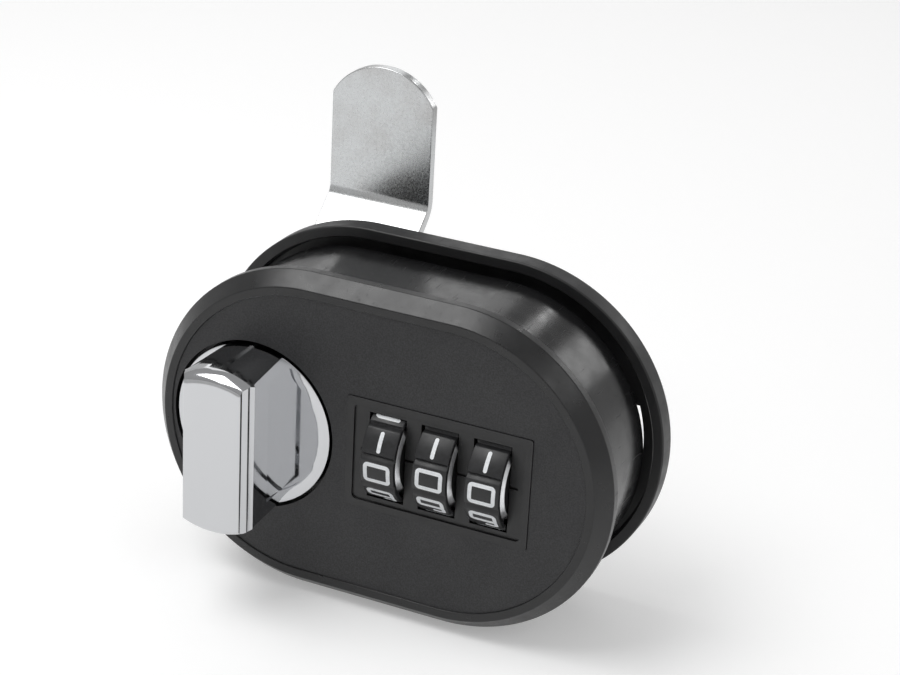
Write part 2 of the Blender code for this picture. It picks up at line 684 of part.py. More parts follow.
def on_dial(piece, index):
    """Turns a piece about its wheel's axis to the number that the wheel shows."""
    piece.rotation_euler.x = math.radians(REST_TURN[index])


def number_wheel(index):
    """One wheel: ten fields outside, a deep recess for its code ring and ten inner splines."""
    half, disc_seat = WHEEL_HALF, WHEEL_HALF - DISC_THICK - FIT
    low, high = BOSS_RADIUS + SPLINE_GAP, SPLINE_TIP + SPLINE_GAP
    loops = [tread(-half, WHEEL_RADIUS - EDGE), tread(EDGE - half), tread(half - EDGE),
             tread(half, WHEEL_RADIUS - EDGE),
             turned(DISC_RADIUS + FIT, half), turned(DISC_RADIUS + FIT, disc_seat),
             turned(CLEAR_BORE, disc_seat), turned(CLEAR_BORE, RING_SHIFT),
             toothed(RING_SHIFT, low, high, NOTCH_HALF), toothed(RECESS_END, low, high, NOTCH_HALF),
             turned(RECESS_RADIUS, RECESS_END), turned(RECESS_RADIUS, -half)]
    at = (wheel_x(index), WHEEL_Y, 0.0)
    on_dial(place("number_wheel_%d" % (index + 1), skin(loops, closed=True), "wheel_black", at), index)


def wheel_disc(index):
    """The bright disc let into the wheel's right side."""
    left, right, bore = WHEEL_HALF - DISC_THICK, WHEEL_HALF + FIT / 2, SHAFT_RADIUS + FIT
    loops = [circle_x(radius, x) for radius, x in ((DISC_RADIUS, left), (DISC_RADIUS, WHEEL_HALF),
                                                   (DISC_RADIUS - FIT, right), (bore, right), (bore, left))]
    at = (wheel_x(index), WHEEL_Y, 0.0)
    on_dial(place("wheel_disc_%d" % (index + 1), skin(loops, closed=True), "zinc", at), index)


def code_ring(index):
    """The ring whose teeth block the lock bar, on a splined boss; behind the open number it has none."""
    bore, end = SHAFT_RADIUS + FIT, RING_START + RING_THICK
    behind = DIGITS // 2
    loops = [toothed(RING_START, RING_ROOT, RING_TIP, TOOTH_HALF, behind),
             toothed(end, RING_ROOT, RING_TIP, TOOTH_HALF, behind),
             turned(BOSS_RADIUS, end), turned(BOSS_RADIUS, SPLINE_START),
             toothed(SPLINE_START, BOSS_RADIUS, SPLINE_TIP, TOOTH_HALF),
             toothed(SPLINE_END, BOSS_RADIUS, SPLINE_TIP, TOOTH_HALF),
             turned(bore, SPLINE_END), turned(bore, RING_START)]
    at = (wheel_x(index), WHEEL_Y, 0.0)
    on_dial(place("code_ring_%d" % (index + 1), skin(loops, closed=True), "brass", at), index)


def code_shaft():
    """The shaft with a collar before each code ring, and the yoke that the setting eccentric moves."""
    left = COVER_X - COVER_FRAME[0] / 2
    head = SETTER_X - SETTER_LOW - RING_SHIFT - FIT
    wall = SETTER_X + SETTER_LOW + FIT
    profile = [(SHAFT_RADIUS, left)]
    for k in range(WHEELS):
        end = wheel_x(k) + RING_START - FIT
        start = end - COLLAR_THICK
        profile += [(SHAFT_RADIUS, start), (COLLAR_RADIUS, start), (COLLAR_RADIUS, end), (SHAFT_RADIUS, end)]
    profile.append((SHAFT_RADIUS, head))
    at = (0.0, WHEEL_Y, 0.0)
    shaft = place("code_shaft", skin([circle_x(radius, x, FEW) for radius, x in profile]), "spring_steel", at)
    swing = SETTER_LOW + RING_SHIFT * (0.5 + math.sqrt(0.5))
    opening = swing + 2 * FIT
    outer, start, end = opening + YOKE_ARM, head - YOKE_NECK, wall + YOKE_WALL
    outline = [(start, -outer), (end - YOKE_WALL, -outer), (end, -outer + YOKE_WALL),
               (end, outer - YOKE_WALL), (end - YOKE_WALL, outer), (start, outer)]
    yoke = slab(outline, YOKE_FRONT - WHEEL_Y, YOKE_BACK - WHEEL_Y)
    boolean(shaft, guide("shaft_yoke", yoke, at), "UNION")
    hole = block((head, YOKE_FRONT - WHEEL_Y - CUT, -opening), (wall, YOKE_BACK - WHEEL_Y + CUT, opening))
    boolean(shaft, guide("shaft_yoke_hole", hole, at), "DIFFERENCE")


def lock_bar():
    """A comb stamped from sheet: a spine with a nose and one hooked finger for each code ring."""
    nose = KNOB_X + LIFT_BASE + BAR_GAP
    inner, outer = WHEEL_Y + FOOT_INNER, WHEEL_Y + FOOT_OUTER
    outline = [(nose, BAR_BACK), (nose, BAR_FRONT)]
    for k in range(WHEELS):
        start, tip = wheel_x(k) + FINGER_START, wheel_x(k) + FOOT_TIP
        outline += [(start, BAR_FRONT), (start, inner), (tip, inner), (tip, outer),
                    (start + FINGER_WIDTH, outer), (start + FINGER_WIDTH, BAR_FRONT)]
    outline += [(BAR_END, BAR_FRONT), (BAR_END, BAR_BACK)]
    loops = [[Vector((x, y, z)) for x, y in outline] for z in (-BAR_THICK / 2, BAR_THICK / 2)]
    place("lock_bar", skin(loops), "zinc")


def bar_spring():
    """The coil spring between the lock bar's end and its seat on the back cover."""
    start = BAR_END + KNOB_GAP + SPRING_WIRE
    run = SETTER_X - SEAT_OUTER - KNOB_GAP - SPRING_WIRE - start
    middle = (BAR_FRONT + BAR_BACK) / 2
    curve = bpy.data.curves.new("bar_spring", "CURVE")
    curve.dimensions = "3D"
    curve.bevel_depth = SPRING_WIRE
    curve.bevel_resolution = 0
    curve.use_fill_caps = True
    line = curve.splines.new("POLY")
    count = 12 * SPRING_TURNS
    line.points.add(count)
    for k in range(count + 1):
        turn = 2 * math.pi * SPRING_TURNS * k / count
        line.points[k].co = (start + run * k / count, middle + SPRING_RADIUS * math.cos(turn),
                             SPRING_RADIUS * math.sin(turn), 1.0)
    spring = bpy.data.objects.new("bar_spring", curve)
    bpy.context.scene.collection.objects.link(spring)
    spring.parent = lock
    curve.materials.append(finish("spring_steel"))


def leaf_finger(x, path):
    """One bent finger of the detent spring, of constant width, along points given as (y, z)."""
    loops = []
    for k, (y, z) in enumerate(path):
        before, after = path[max(k - 1, 0)], path[min(k + 1, len(path) - 1)]
        along = Vector((0.0, after[0] - before[0], after[1] - before[1])).normalized()
        lift = Vector((0.0, along.z, -along.y)) * LEAF_THICK / 2
        middle = Vector((x, y, z))
        side = Vector((LEAF_HALF, 0.0, 0.0))
        loops.append([middle - side - lift, middle + side - lift, middle + side + lift, middle - side + lift])
    return skin(loops)


def detent_spring():
    """A leaf on the cover's shelf with one bent finger under each wheel."""
    floor, back = SHELF_Z + FIT, SHELF_BACK - BAR_WINDOW_GAP
    level, tip = floor + LEAF_THICK / 2, -WHEEL_RADIUS - LEAF_LIFT
    path = [(back, level), (LEAF_ROOT, level), LEAF_KNEE, (WHEEL_Y + KNOB_GAP, tip - LEAF_THICK / 2),
            (WHEEL_Y, tip - LEAF_THICK / 2), (WHEEL_Y - KNOB_GAP, tip - 2 * LEAF_THICK)]
    first, last = wheel_x(0) - LEAF_SPAN, wheel_x(WHEELS - 1) + LEAF_SPAN
    root = block((first, LEAF_ROOT, floor), (last, back, floor + LEAF_THICK))
    leaf = place("detent_spring", root, "spring_steel")
    for k in range(WHEELS):
        boolean(leaf, guide("detent_finger_%d" % k, leaf_finger(wheel_x(k), path)), "UNION")


def back_cover():
    """The lid in the neck: two bearings, guides and spring seat for the bar, and two turn stops."""
    outer = NECK_RADIUS - NECK_WALL - LID_GAP
    profile = [(outer - EDGE, LID_FRONT), (outer, LID_FRONT + EDGE),
               (outer, LID_BACK - EDGE), (outer - EDGE, LID_BACK)]
    lid = place("back_cover", skin([obround(radius, y) for radius, y in profile]), "satin_black")
    slot, root = BAR_THICK / 2 + BAR_GAP, LID_FRONT + SINK
    front, back = LID_FRONT - CUT, LID_BACK + CUT
    adds, cuts = [], []
    for x in GUIDE_STARTS:
        end, wide = x + GUIDE_LENGTH, slot + GUIDE_WALL
        adds.append(block((x, GUIDE_FRONT, -wide), (end, root, wide)))
        cuts.append(block((x - CUT, GUIDE_FRONT - CUT, -slot), (end + CUT, BAR_BACK + KNOB_GAP, slot)))
    adds.append(block((SETTER_X - SEAT_OUTER, GUIDE_FRONT, -SEAT_HALF),
                      (SETTER_X - SEAT_INNER, root, SEAT_HALF)))
    for turn in STOP_TURNS:
        spot = (KNOB_X + STOP_REACH * math.cos(math.radians(turn)), STOP_REACH * math.sin(math.radians(turn)))
        adds.append(rod_y(STOP_RADIUS, LIFT_FRONT + KNOB_GAP, root, spot, FEW))
    cuts.append(rod_y(NECKED_RADIUS + BORE_GAP, front, back, (KNOB_X, 0.0)))
    cuts.append(rod_y(SETTER_SHAFT + BORE_GAP, front, back, (SETTER_X, 0.0), FEW))
    cuts += [rod_y(CLAMP_POST + LID_GAP, front, back, spot, FEW) for spot in corners(CLAMP_SPOT)]
    cuts += [rod_y(LID_SHANK + FIT, front, back, spot, FEW) for spot in corners(LID_SPOT)]
    for k, bm in enumerate(adds):
        boolean(lid, guide("lid_rib_%d" % k, bm), "UNION")
    for k, bm in enumerate(cuts):
        boolean(lid, guide("lid_hole_%d" % k, bm), "DIFFERENCE")


def pan_screw(name, spot, shank, head, thick, start, seat):
    """One pan-head screw with a crossed slot; start and seat are where the shank begins and the head sits."""
    at = (spot[0], 0.0, spot[1])
    loops = [circle_y(shank, y, FEW) for y in (start, seat)]
    for wide, high in ((1.0, 0.0), (1.0, 0.5), (0.7, 1.0)):
        loops.append(circle_y(head * wide, seat + thick * high, FEW))
    screw = place(name, skin(loops), "zinc", at)
    long, narrow, floor = 0.55 * head, 0.13 * head, seat + 0.45 * thick
    for k, (x, z) in enumerate(((long, narrow), (narrow, long))):
        cross = guide("%s_cross_%d" % (name, k), block((-x, floor, -z), (x, seat + thick + CUT, z)), at)
        boolean(screw, cross, "DIFFERENCE")


def rear_ring():
    """The cup that closes on the back of the door, its floor slotted for the spindle and the setter."""
    profile = [(REAR_LIP, REAR_FLOOR), (REAR_LIP, REAR_FRONT),
               (REAR_RADIUS - EDGE, REAR_FRONT), (REAR_RADIUS, REAR_FRONT + EDGE),
               (REAR_RADIUS, REAR_BACK - EDGE), (REAR_RADIUS - EDGE, REAR_BACK)]
    ring = place("rear_ring", skin([obround(radius, y) for radius, y in profile]), "gloss_black")
    front, back = REAR_FLOOR - CUT, REAR_BACK + CUT
    sweep = math.degrees(math.asin(REAR_SLOT_HALF / REAR_HOLE))
    outline = arc((HALF_RUN, 0.0), REAR_HOLE, -sweep, sweep, 12)
    outline += arc((-HALF_RUN, 0.0), REAR_HOLE, 180 - sweep, 180 + sweep, 12)
    boolean(ring, guide("rear_slot", slab(outline, front, back)), "DIFFERENCE")
    for k, spot in enumerate(corners(CLAMP_SPOT)):
        hole = rod_y(CLAMP_SHANK + FIT, front, back, spot, FEW)
        boolean(ring, guide("rear_hole_%d" % k, hole), "DIFFERENCE")


def code_setter():
    """The slotted turn button on the back, its shaft and the eccentric inside the yoke."""
    at = (SETTER_X, 0.0, 0.0)
    offset = RING_SHIFT / 2
    lobe_back, button = YOKE_BACK - FIT, LID_BACK + KNOB_GAP
    lobe = SETTER_LOW + offset
    loops = [circle_y(lobe, y, SETTER_ROUND, (-offset, -offset)) for y in (YOKE_FRONT + FIT, lobe_back)]
    loops += [circle_y(radius, y, SETTER_ROUND) for radius, y in
              ((SETTER_SHAFT, lobe_back), (SETTER_SHAFT, button), (SETTER_BUTTON, button),
               (SETTER_BUTTON, SETTER_BUTTON_BACK - EDGE), (SETTER_BUTTON - EDGE, SETTER_BUTTON_BACK))]
    piece = place("code_setter", skin(loops), "gloss_black", at)
    long, wide, deep = SETTER_SLOT
    slot = block((-long / 2, SETTER_BUTTON_BACK - deep, -wide / 2),
                 (long / 2, SETTER_BUTTON_BACK + CUT, wide / 2))
    boolean(piece, guide("setter_slot", slot, at), "DIFFERENCE")


def screws():
    """The cam's screw, four short ones for the back cover and four long ones for the rear ring."""
    cam_seat = SHOULDER_Y + CAM_THICK + KNOB_GAP
    cam_washer(cam_seat)
    pan_screw("cam_screw", (KNOB_X, 0.0), CAM_SCREW_RADIUS, CAM_HEAD, CAM_HEAD_THICK, CAM_SCREW_START,
              cam_seat + WASHER_THICK + FIT)
    for k, spot in enumerate(corners(LID_SPOT)):
        pan_screw("cover_screw_%d" % (k + 1), spot, LID_SHANK, LID_HEAD, LID_HEAD_THICK, LID_START,
                  LID_BACK + FIT)
    for k, spot in enumerate(corners(CLAMP_SPOT)):
        pan_screw("clamp_screw_%d" % (k + 1), spot, CLAMP_SHANK, CLAMP_HEAD, CLAMP_HEAD_THICK, CLAMP_START,
                  REAR_BACK + FIT)


front_housing()
dial_cover()
knob()
lift_cam()
spindle_clip()
cam()
for wheel in range(WHEELS):
    number_wheel(wheel)
    wheel_disc(wheel)
    code_ring(wheel)
code_shaft()
lock_bar()
bar_spring()
detent_spring()
back_cover()
code_setter()
rear_ring()
screws()
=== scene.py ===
# %% [markdown]
# # A three-wheel combination cam lock
# This lock closes a cabinet door. Three number wheels free a knob, and the knob swings a steel cam
# behind the frame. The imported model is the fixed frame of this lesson: it gives every size, place and
# joint. The cells below add what a CAD solid leaves out, such as rounded edges, painted digits and the
# look of each surface.

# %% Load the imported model
import json
import math

import bmesh
import bpy
from mathutils import Matrix, Vector


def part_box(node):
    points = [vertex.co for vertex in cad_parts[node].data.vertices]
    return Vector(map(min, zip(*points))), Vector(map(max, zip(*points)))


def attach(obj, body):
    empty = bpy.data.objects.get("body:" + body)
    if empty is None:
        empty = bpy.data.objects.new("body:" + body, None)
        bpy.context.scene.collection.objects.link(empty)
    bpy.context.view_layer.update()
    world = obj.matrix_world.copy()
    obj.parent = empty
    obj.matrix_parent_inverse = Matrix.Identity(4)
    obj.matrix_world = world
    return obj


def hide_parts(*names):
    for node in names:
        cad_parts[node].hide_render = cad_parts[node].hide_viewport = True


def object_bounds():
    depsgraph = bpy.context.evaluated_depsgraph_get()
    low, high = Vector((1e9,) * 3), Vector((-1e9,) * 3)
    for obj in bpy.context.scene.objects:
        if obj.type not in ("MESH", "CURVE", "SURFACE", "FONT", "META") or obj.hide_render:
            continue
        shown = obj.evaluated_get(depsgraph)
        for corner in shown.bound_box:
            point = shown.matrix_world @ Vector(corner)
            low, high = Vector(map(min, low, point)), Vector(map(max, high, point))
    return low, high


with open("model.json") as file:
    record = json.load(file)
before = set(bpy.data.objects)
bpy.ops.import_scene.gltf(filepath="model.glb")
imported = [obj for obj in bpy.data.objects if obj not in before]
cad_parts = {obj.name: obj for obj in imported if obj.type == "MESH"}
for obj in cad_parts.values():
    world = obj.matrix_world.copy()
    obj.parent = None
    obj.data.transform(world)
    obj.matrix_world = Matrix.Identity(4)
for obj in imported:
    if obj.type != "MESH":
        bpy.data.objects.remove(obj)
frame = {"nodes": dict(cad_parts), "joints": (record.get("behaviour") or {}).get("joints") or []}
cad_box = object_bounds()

print("CAD box in mm:", [[round(v * 1000, 1) for v in corner] for corner in cad_box])

# %% [markdown]
# ## The lock's own frame
# A lock is easiest to draw from the middle of its front face, in millimetres: X to the right, Y back
# through the door and Z up. The joints say where that face and the wheels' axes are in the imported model.

# %% Places read from the joints
JOINTS = {joint["name"]: joint for joint in frame["joints"]}
KNOB_PLACE = Vector(JOINTS["knob_turn"]["pos_m"])
MM = 0.001
FACE = Vector((0.0, KNOB_PLACE.y, KNOB_PLACE.z))
TO_FRAME = Matrix.Translation(FACE) @ Matrix.Scale(MM, 4)


def in_mm(point):
    """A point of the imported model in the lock's own millimetres."""
    return (Vector(point) - FACE) / MM


def node_box(name):
    """Lowest and highest corners of a CAD node in the lock's own millimetres."""
    return [in_mm(corner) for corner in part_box(name)]


KNOB_X = in_mm(KNOB_PLACE).x
AXES = [in_mm(JOINTS["dial_%d_turn" % k]["pos_m"]) for k in (1, 2, 3)]
print("knob axis x", round(KNOB_X, 2), "wheel axes x", [round(axis.x, 2) for axis in AXES])

# %% Sizes read from the CAD nodes
PLATE_LOW, PLATE_HIGH = node_box("front_housing")
PLATE_RADIUS = PLATE_HIGH.z
HALF_RUN = PLATE_HIGH.x - PLATE_RADIUS
RING_PROUD = -PLATE_LOW.y
NECK_END = PLATE_HIGH.y
FACE_RADIUS = PLATE_RADIUS - 3.0
CREST_RADIUS = FACE_RADIUS + 1.35
NECK_RADIUS = PLATE_RADIUS - 1.85
NECK_INNER = NECK_RADIUS - 1.5
FACE_WALL = 2.3
PLATE_BACK = 3.3
print("plate %.1f x %.1f mm, neck ends at %.1f mm" % (2 * PLATE_HIGH.x, 2 * PLATE_RADIUS, NECK_END))

# %% [markdown]
# ## Spun shapes
# Screws, bosses, holes and wheels are turned, so a profile is spun about an axis. The plate, the neck
# and the rear ring have a long round-ended outline: such a moulding is spun too, and its two halves are
# then drawn apart, which keeps the radii true all the way round.

# %% Spun shapes


def chain(bm, spots, closed=False):
    """Vertices at the spots, each joined to the next by an edge, and the last to the first if closed."""
    verts = [bm.verts.new(spot) for spot in spots]
    follow = verts[1:] + verts[:1] if closed else verts[1:]
    return verts, [bm.edges.new(pair) for pair in zip(verts, follow)]


def spun(profile, at=(0.0, 0.0), steps=64, run=0.0, closed=False):
    """Spins a profile of (radius, depth) about Y, draws the halves apart by the run and fills open ends."""
    bm = bmesh.new()
    verts, edges = chain(bm, [(radius, depth, 0.0) for radius, depth in profile], closed)
    bmesh.ops.spin(bm, geom=verts + edges, axis=(0.0, 1.0, 0.0), angle=2 * math.pi, steps=steps,
                   use_merge=True)
    for side in (1, -1):
        half = [vert for vert in bm.verts if vert.co.x * side > 0]
        bmesh.ops.translate(bm, verts=half, vec=(side * run, 0.0, 0.0))
    bmesh.ops.holes_fill(bm, edges=[edge for edge in bm.edges if edge.is_boundary])
    bmesh.ops.translate(bm, verts=bm.verts, vec=(at[0], 0.0, at[1]))
    return bm


def rod(radius, front, back, at=(0.0, 0.0), steps=64):
    """A plain round bar along Y."""
    return spun([(radius, front), (radius, back)], at, steps)


def along_wheels(bm):
    """Turns a spun shape on to the wheels' axis: its depth becomes X, and its first angle the front."""
    turn = Matrix.Translation((0.0, AXES[0].y, 0.0)) @ Matrix.Rotation(math.radians(-90), 4, "Z")
    bmesh.ops.transform(bm, matrix=turn, verts=bm.verts)
    return bm


def arc(centre, radius, start, end, steps):
    """Points of an arc in a plane, its angles in degrees."""
    turns = [math.radians(start + (end - start) * k / steps) for k in range(steps + 1)]
    return [(centre[0] + radius * math.cos(t), centre[1] + radius * math.sin(t)) for t in turns]


print("a bar has", len(rod(1.0, 0.0, 1.0).faces), "faces")

# %% [markdown]
# ## Plates and blocks
# Flat pieces are an outline, extruded. A block with round upright edges is a cube with four of its edges
# bevelled.

# %% Flat and square shapes


def drawn_out(bm, made, step):
    """Moves the new vertices of an extrusion by a step."""
    moved = [item for item in made["geom"] if isinstance(item, bmesh.types.BMVert)]
    bmesh.ops.translate(bm, verts=moved, vec=step)


def rounded(bm, geom, offset, segments, affect="EDGES"):
    """Rounds edges of a bmesh, or the corners of a line."""
    bmesh.ops.bevel(bm, geom=geom, offset=offset, segments=segments, profile=0.5, affect=affect,
                    material=-1)


def depth_of(edge):
    """How far an edge runs along Y."""
    return abs(edge.verts[0].co.y - edge.verts[1].co.y)


def plate(outline, low, high, axis="Y"):
    """Extrudes an outline along Y, where its points are (x, z), or along Z, where they are (x, y)."""
    bm = bmesh.new()
    spots = [(a, low, b) if axis == "Y" else (a, b, low) for a, b in outline]
    face = bm.faces.new([bm.verts.new(spot) for spot in spots])
    step = (0.0, high - low, 0.0) if axis == "Y" else (0.0, 0.0, high - low)
    drawn_out(bm, bmesh.ops.extrude_face_region(bm, geom=[face]), step)
    return bm


def block(low, high, corner=0.0):
    """A box between two corners, with its edges along Y rounded to a corner radius."""
    bm = bmesh.new()
    size = Vector(high) - Vector(low)
    middle = (Vector(high) + Vector(low)) / 2
    bmesh.ops.create_cube(bm, size=1.0, matrix=Matrix.Translation(middle) @ Matrix.Diagonal((*size, 1.0)))
    if corner:
        upright = [edge for edge in bm.edges if depth_of(edge) > 0.5 * size.y]
        rounded(bm, upright, corner, 6)
    return bm


print("a rounded block has", len(block((0, 0, 0), (9, 9, 9), 1).faces), "faces")

# %% [markdown]
# ## Cutting and finishing
# Holes and recesses are cut by Boolean, applied at once, so each piece ends as one plain mesh. A live
# Bevel with hardened normals then rounds the edges a little, as every moulded or cast edge is, and keeps
# flat faces flat. A finished piece's object stands at the origin and its mesh is in metres.

# %% Cutting and finishing helpers


def rough_piece(name, bm):
    """An object from a bmesh in the lock's own millimetres."""
    bmesh.ops.recalc_face_normals(bm, faces=bm.faces)
    if bm.calc_volume(signed=True) < 0:
        bmesh.ops.reverse_faces(bm, faces=bm.faces)
    mesh = bpy.data.meshes.new(name)
    bm.to_mesh(mesh)
    bm.free()
    made = bpy.data.objects.new(name, mesh)
    bpy.context.scene.collection.objects.link(made)
    return made


def carve(piece, shapes, operation="DIFFERENCE"):
    """Cuts shapes from a piece, joins them to it or keeps what they share; a shape may be an object.

    Modifiers that the piece already has are applied first.
    """
    helpers = []
    for k, shape in enumerate(shapes):
        helper = shape
        if not isinstance(shape, bpy.types.Object):
            helper = rough_piece("%s_cut_%d" % (piece.name, k), shape)
        step = piece.modifiers.new("cut", "BOOLEAN")
        step.operation = operation
        step.solver = "EXACT"
        step.object = helper
        helpers.append(helper)
    bpy.context.view_layer.update()
    graph = bpy.context.evaluated_depsgraph_get()
    mesh = bpy.data.meshes.new_from_object(piece.evaluated_get(graph))
    piece.modifiers.clear()
    piece.data = mesh
    for helper in helpers:
        bpy.data.objects.remove(helper)
    return piece


def thickened(piece, thickness):
    """Gives a sheet its thickness, half to each side."""
    wall = piece.modifiers.new("wall", "SOLIDIFY")
    wall.thickness = thickness
    wall.offset = 0.0
    wall.use_even_offset = True
    return piece


def finish_piece(piece, body, materials, replaces=None, edge=0.0, crease=32.0):
    """Places a piece in metres, shades it, rounds its edges by a width in mm and gives it to its body."""
    piece.data.transform(TO_FRAME)
    piece.data.shade_smooth()
    piece.data.set_sharp_from_angle(angle=math.radians(crease))
    for material in materials:
        piece.data.materials.append(material)
    if edge:
        bevel = piece.modifiers.new("edges", "BEVEL")
        bevel.width = edge * MM
        bevel.segments = 2
        bevel.limit_method = "ANGLE"
        bevel.angle_limit = math.radians(crease)
        bevel.harden_normals = True
    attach(piece, body)
    if replaces:
        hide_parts(replaces)
    print(piece.name, len(piece.data.polygons), "faces")
    return piece


def keep_flat(piece):
    """Keeps flat faces flat in shading, on a piece that has no live bevel."""
    flats = piece.modifiers.new("flat_faces_stay_flat", "WEIGHTED_NORMAL")
    flats.keep_sharp = True
    return piece


# %% [markdown]
# ## Colours and nodes
# Colours are written as sRGB hex and made linear in one place. One small function adds a node with its
# links.

# %% Colour and node helpers


def tone(code):
    """Linear colour from an sRGB hex code."""
    parts = [int(code[k:k + 2], 16) / 255 for k in (1, 3, 5)]
    return tuple(v / 12.92 if v <= 0.04045 else ((v + 0.055) / 1.055) ** 2.4 for v in parts) + (1.0,)


def node(tree, kind, inputs=None, stops=None, **settings):
    """Adds a node; a value that is a socket is linked, and stops are the positions and colours of a ramp."""
    made = tree.nodes.new(kind)
    for name, value in settings.items():
        setattr(made, name, value)
    for name, value in (inputs or {}).items():
        if isinstance(value, bpy.types.NodeSocket):
            tree.links.new(value, made.inputs[name])
        else:
            made.inputs[name].default_value = value
    for k, (position, colour) in enumerate(stops or []):
        stop = made.color_ramp.elements[k] if k < 2 else made.color_ramp.elements.new(position)
        stop.position = position
        stop.color = tone(colour)
    return made


def new_material(name, colour, roughness, metallic=0.0):
    """A Principled material with its uniform values on the shader; returns it with its tree and shader."""
    material = bpy.data.materials.new(name)
    material.use_nodes = True
    shader = material.node_tree.nodes["Principled BSDF"]
    shader.inputs["Base Color"].default_value = tone(colour)
    shader.inputs["Roughness"].default_value = roughness
    shader.inputs["Metallic"].default_value = metallic
    return material, material.node_tree, shader


def noise(tree, size, detail=2.0, **mapping):
    """A noise whose lumps are about a size in mm, turned and stretched where a mapping is given."""
    place = node(tree, "ShaderNodeTexCoord").outputs["Object"]
    if mapping:
        place = node(tree, "ShaderNodeMapping", {"Vector": place, **mapping}).outputs["Vector"]
    made = node(tree, "ShaderNodeTexNoise", {"Vector": place, "Scale": 1 / (size * MM), "Detail": detail})
    return made.outputs["Fac"]


def spread(tree, value, low, high, start=0.35, end=0.65):
    """Spreads the middle of a noise's values from low to high."""
    limits = {"Value": value, "From Min": start, "From Max": end, "To Min": low, "To Max": high}
    return node(tree, "ShaderNodeMapRange", limits).outputs["Result"]


def tinted(tree, value, stops):
    """A colour for each value, from a ramp."""
    return node(tree, "ShaderNodeValToRGB", {"Fac": value}, stops).outputs["Color"]


def bumped(tree, value, strength, depth):
    """The tilt of a surface that a value raises by a depth in mm."""
    made = node(tree, "ShaderNodeBump", {"Height": value, "Strength": strength, "Distance": depth * MM})
    return made.outputs["Normal"]


def drive(tree, shader, values):
    """Links a socket to each named input of the shader."""
    for name, value in values.items():
        tree.links.new(value, shader.inputs[name])


print("mid grey is", [round(v, 3) for v in tone("#808080")[:3]], "in linear light")

# %% [markdown]
# ## Moulded black plastic, textured
# The face is glass-filled nylon from a spark-eroded mould: near black, with a fine sand grain that
# breaks its gloss into small soft points. Real grain is about 0.1 mm; it is drawn at 0.2 mm so that it
# shows in a small picture.

# %% Textured plastic of the face


def textured_nylon():
    """Near-black plastic with fine sand grain and soft clouds of gloss."""
    material, tree, shader = new_material("nylon_moulded_fine_sand_texture", "#1f1f20", 0.5)
    grain = noise(tree, 0.2)
    drive(tree, shader, {"Base Color": tinted(tree, grain, [(0.34, "#19191a"), (0.68, "#2d2d2f")]),
                         "Roughness": spread(tree, noise(tree, 9.0), 0.46, 0.56),
                         "Normal": bumped(tree, grain, 0.5, 0.03)})
    return material


NYLON = textured_nylon()
print(NYLON.name)

# %% [markdown]
# ## Moulded black plastic, semi-gloss
# The rim, the neck and the rear ring are the same nylon from a smoother part of the mould. They mirror
# the room softly, with fine rubbing marks from handling, which run mostly round the lock.

# %% Semi-gloss plastic of the rim, neck and rear ring


def smooth_nylon(name, colour, low, high, grit):
    """Black plastic that mirrors softly: a ripple in its gloss, a fine grit and sparse rubbing marks."""
    material, tree, shader = new_material(name, colour, 0.5 * (low + high))
    ripple = spread(tree, noise(tree, 2.2, 3.0), low, high)
    rubs = noise(tree, 0.35, 3.0, Rotation=(0.3, 0.5, 0.0), Scale=(1.0, 0.08, 1.0))
    marks = spread(tree, rubs, 0.0, 0.14, 0.62, 0.74)
    both = node(tree, "ShaderNodeMath", {0: ripple, 1: marks}, operation="ADD").outputs["Value"]
    drive(tree, shader, {"Roughness": both, "Normal": bumped(tree, noise(tree, 0.16), grit, 0.02)})
    return material


RIM = smooth_nylon("nylon_moulded_semi_gloss", "#19191a", 0.27, 0.36, 0.4)
NECK = smooth_nylon("nylon_moulded_polished_core", "#141415", 0.16, 0.24, 0.12)
REAR = smooth_nylon("nylon_moulded_satin", "#1b1b1c", 0.38, 0.48, 0.45)
COVER = smooth_nylon("nylon_moulded_fine_satin", "#1c1c1d", 0.34, 0.42, 0.25)
print(RIM.name, NECK.name, REAR.name, COVER.name)

# %% [markdown]
# ## Wheels, digits and discs
# The wheels are black acetal, which turns well and has a silky gloss. The digits are thick pale
# pad-printed ink, and each disc is turned aluminium with a coned edge, which mirrors the pale room and
# stands out beside the black wheel.

# %% Plastic, ink and aluminium of the wheels


def acetal():
    """Black acetal with a silky gloss and a slight mottle."""
    material, tree, shader = new_material("acetal_moulded_black", "#1d1d1f", 0.42)
    mottle = noise(tree, 0.6, 3.0)
    drive(tree, shader, {"Base Color": tinted(tree, mottle, [(0.35, "#19191a"), (0.65, "#222224")]),
                         "Roughness": spread(tree, mottle, 0.38, 0.47)})
    return material


def printed_ink():
    """Pale cool ink, slightly uneven in thickness."""
    material, tree, shader = new_material("pad_printed_pale_ink", "#eff1f4", 0.45)
    patch = noise(tree, 0.5)
    drive(tree, shader, {"Base Color": tinted(tree, patch, [(0.35, "#eaedf0"), (0.65, "#f4f6f8")])})
    return material


def turned_aluminium():
    """Satin aluminium with fine turning lines."""
    material, tree, shader = new_material("aluminium_turned_satin", "#e3e4e6", 0.3, 1.0)
    marks = noise(tree, 0.15, Scale=(1.0, 1.0, 0.1))
    drive(tree, shader, {"Base Color": tinted(tree, marks, [(0.35, "#dadbdd"), (0.65, "#ebecee")])})
    return material


WHEEL, INK, ALUMINIUM = acetal(), printed_ink(), turned_aluminium()
print(WHEEL.name, INK.name, ALUMINIUM.name)

# %% [markdown]
# ## Bright metals
# The knob is cast zinc, polished and chromed: chrome mirrors a little over half of the light. The cam is
# rolled steel with bright zinc plate, which keeps the sheet's faint grit, so its reflections spread. The
# small inner parts are spring steel, machined brass and zinc-plated screws.

# %% Chrome, zinc plate, spring steel and brass


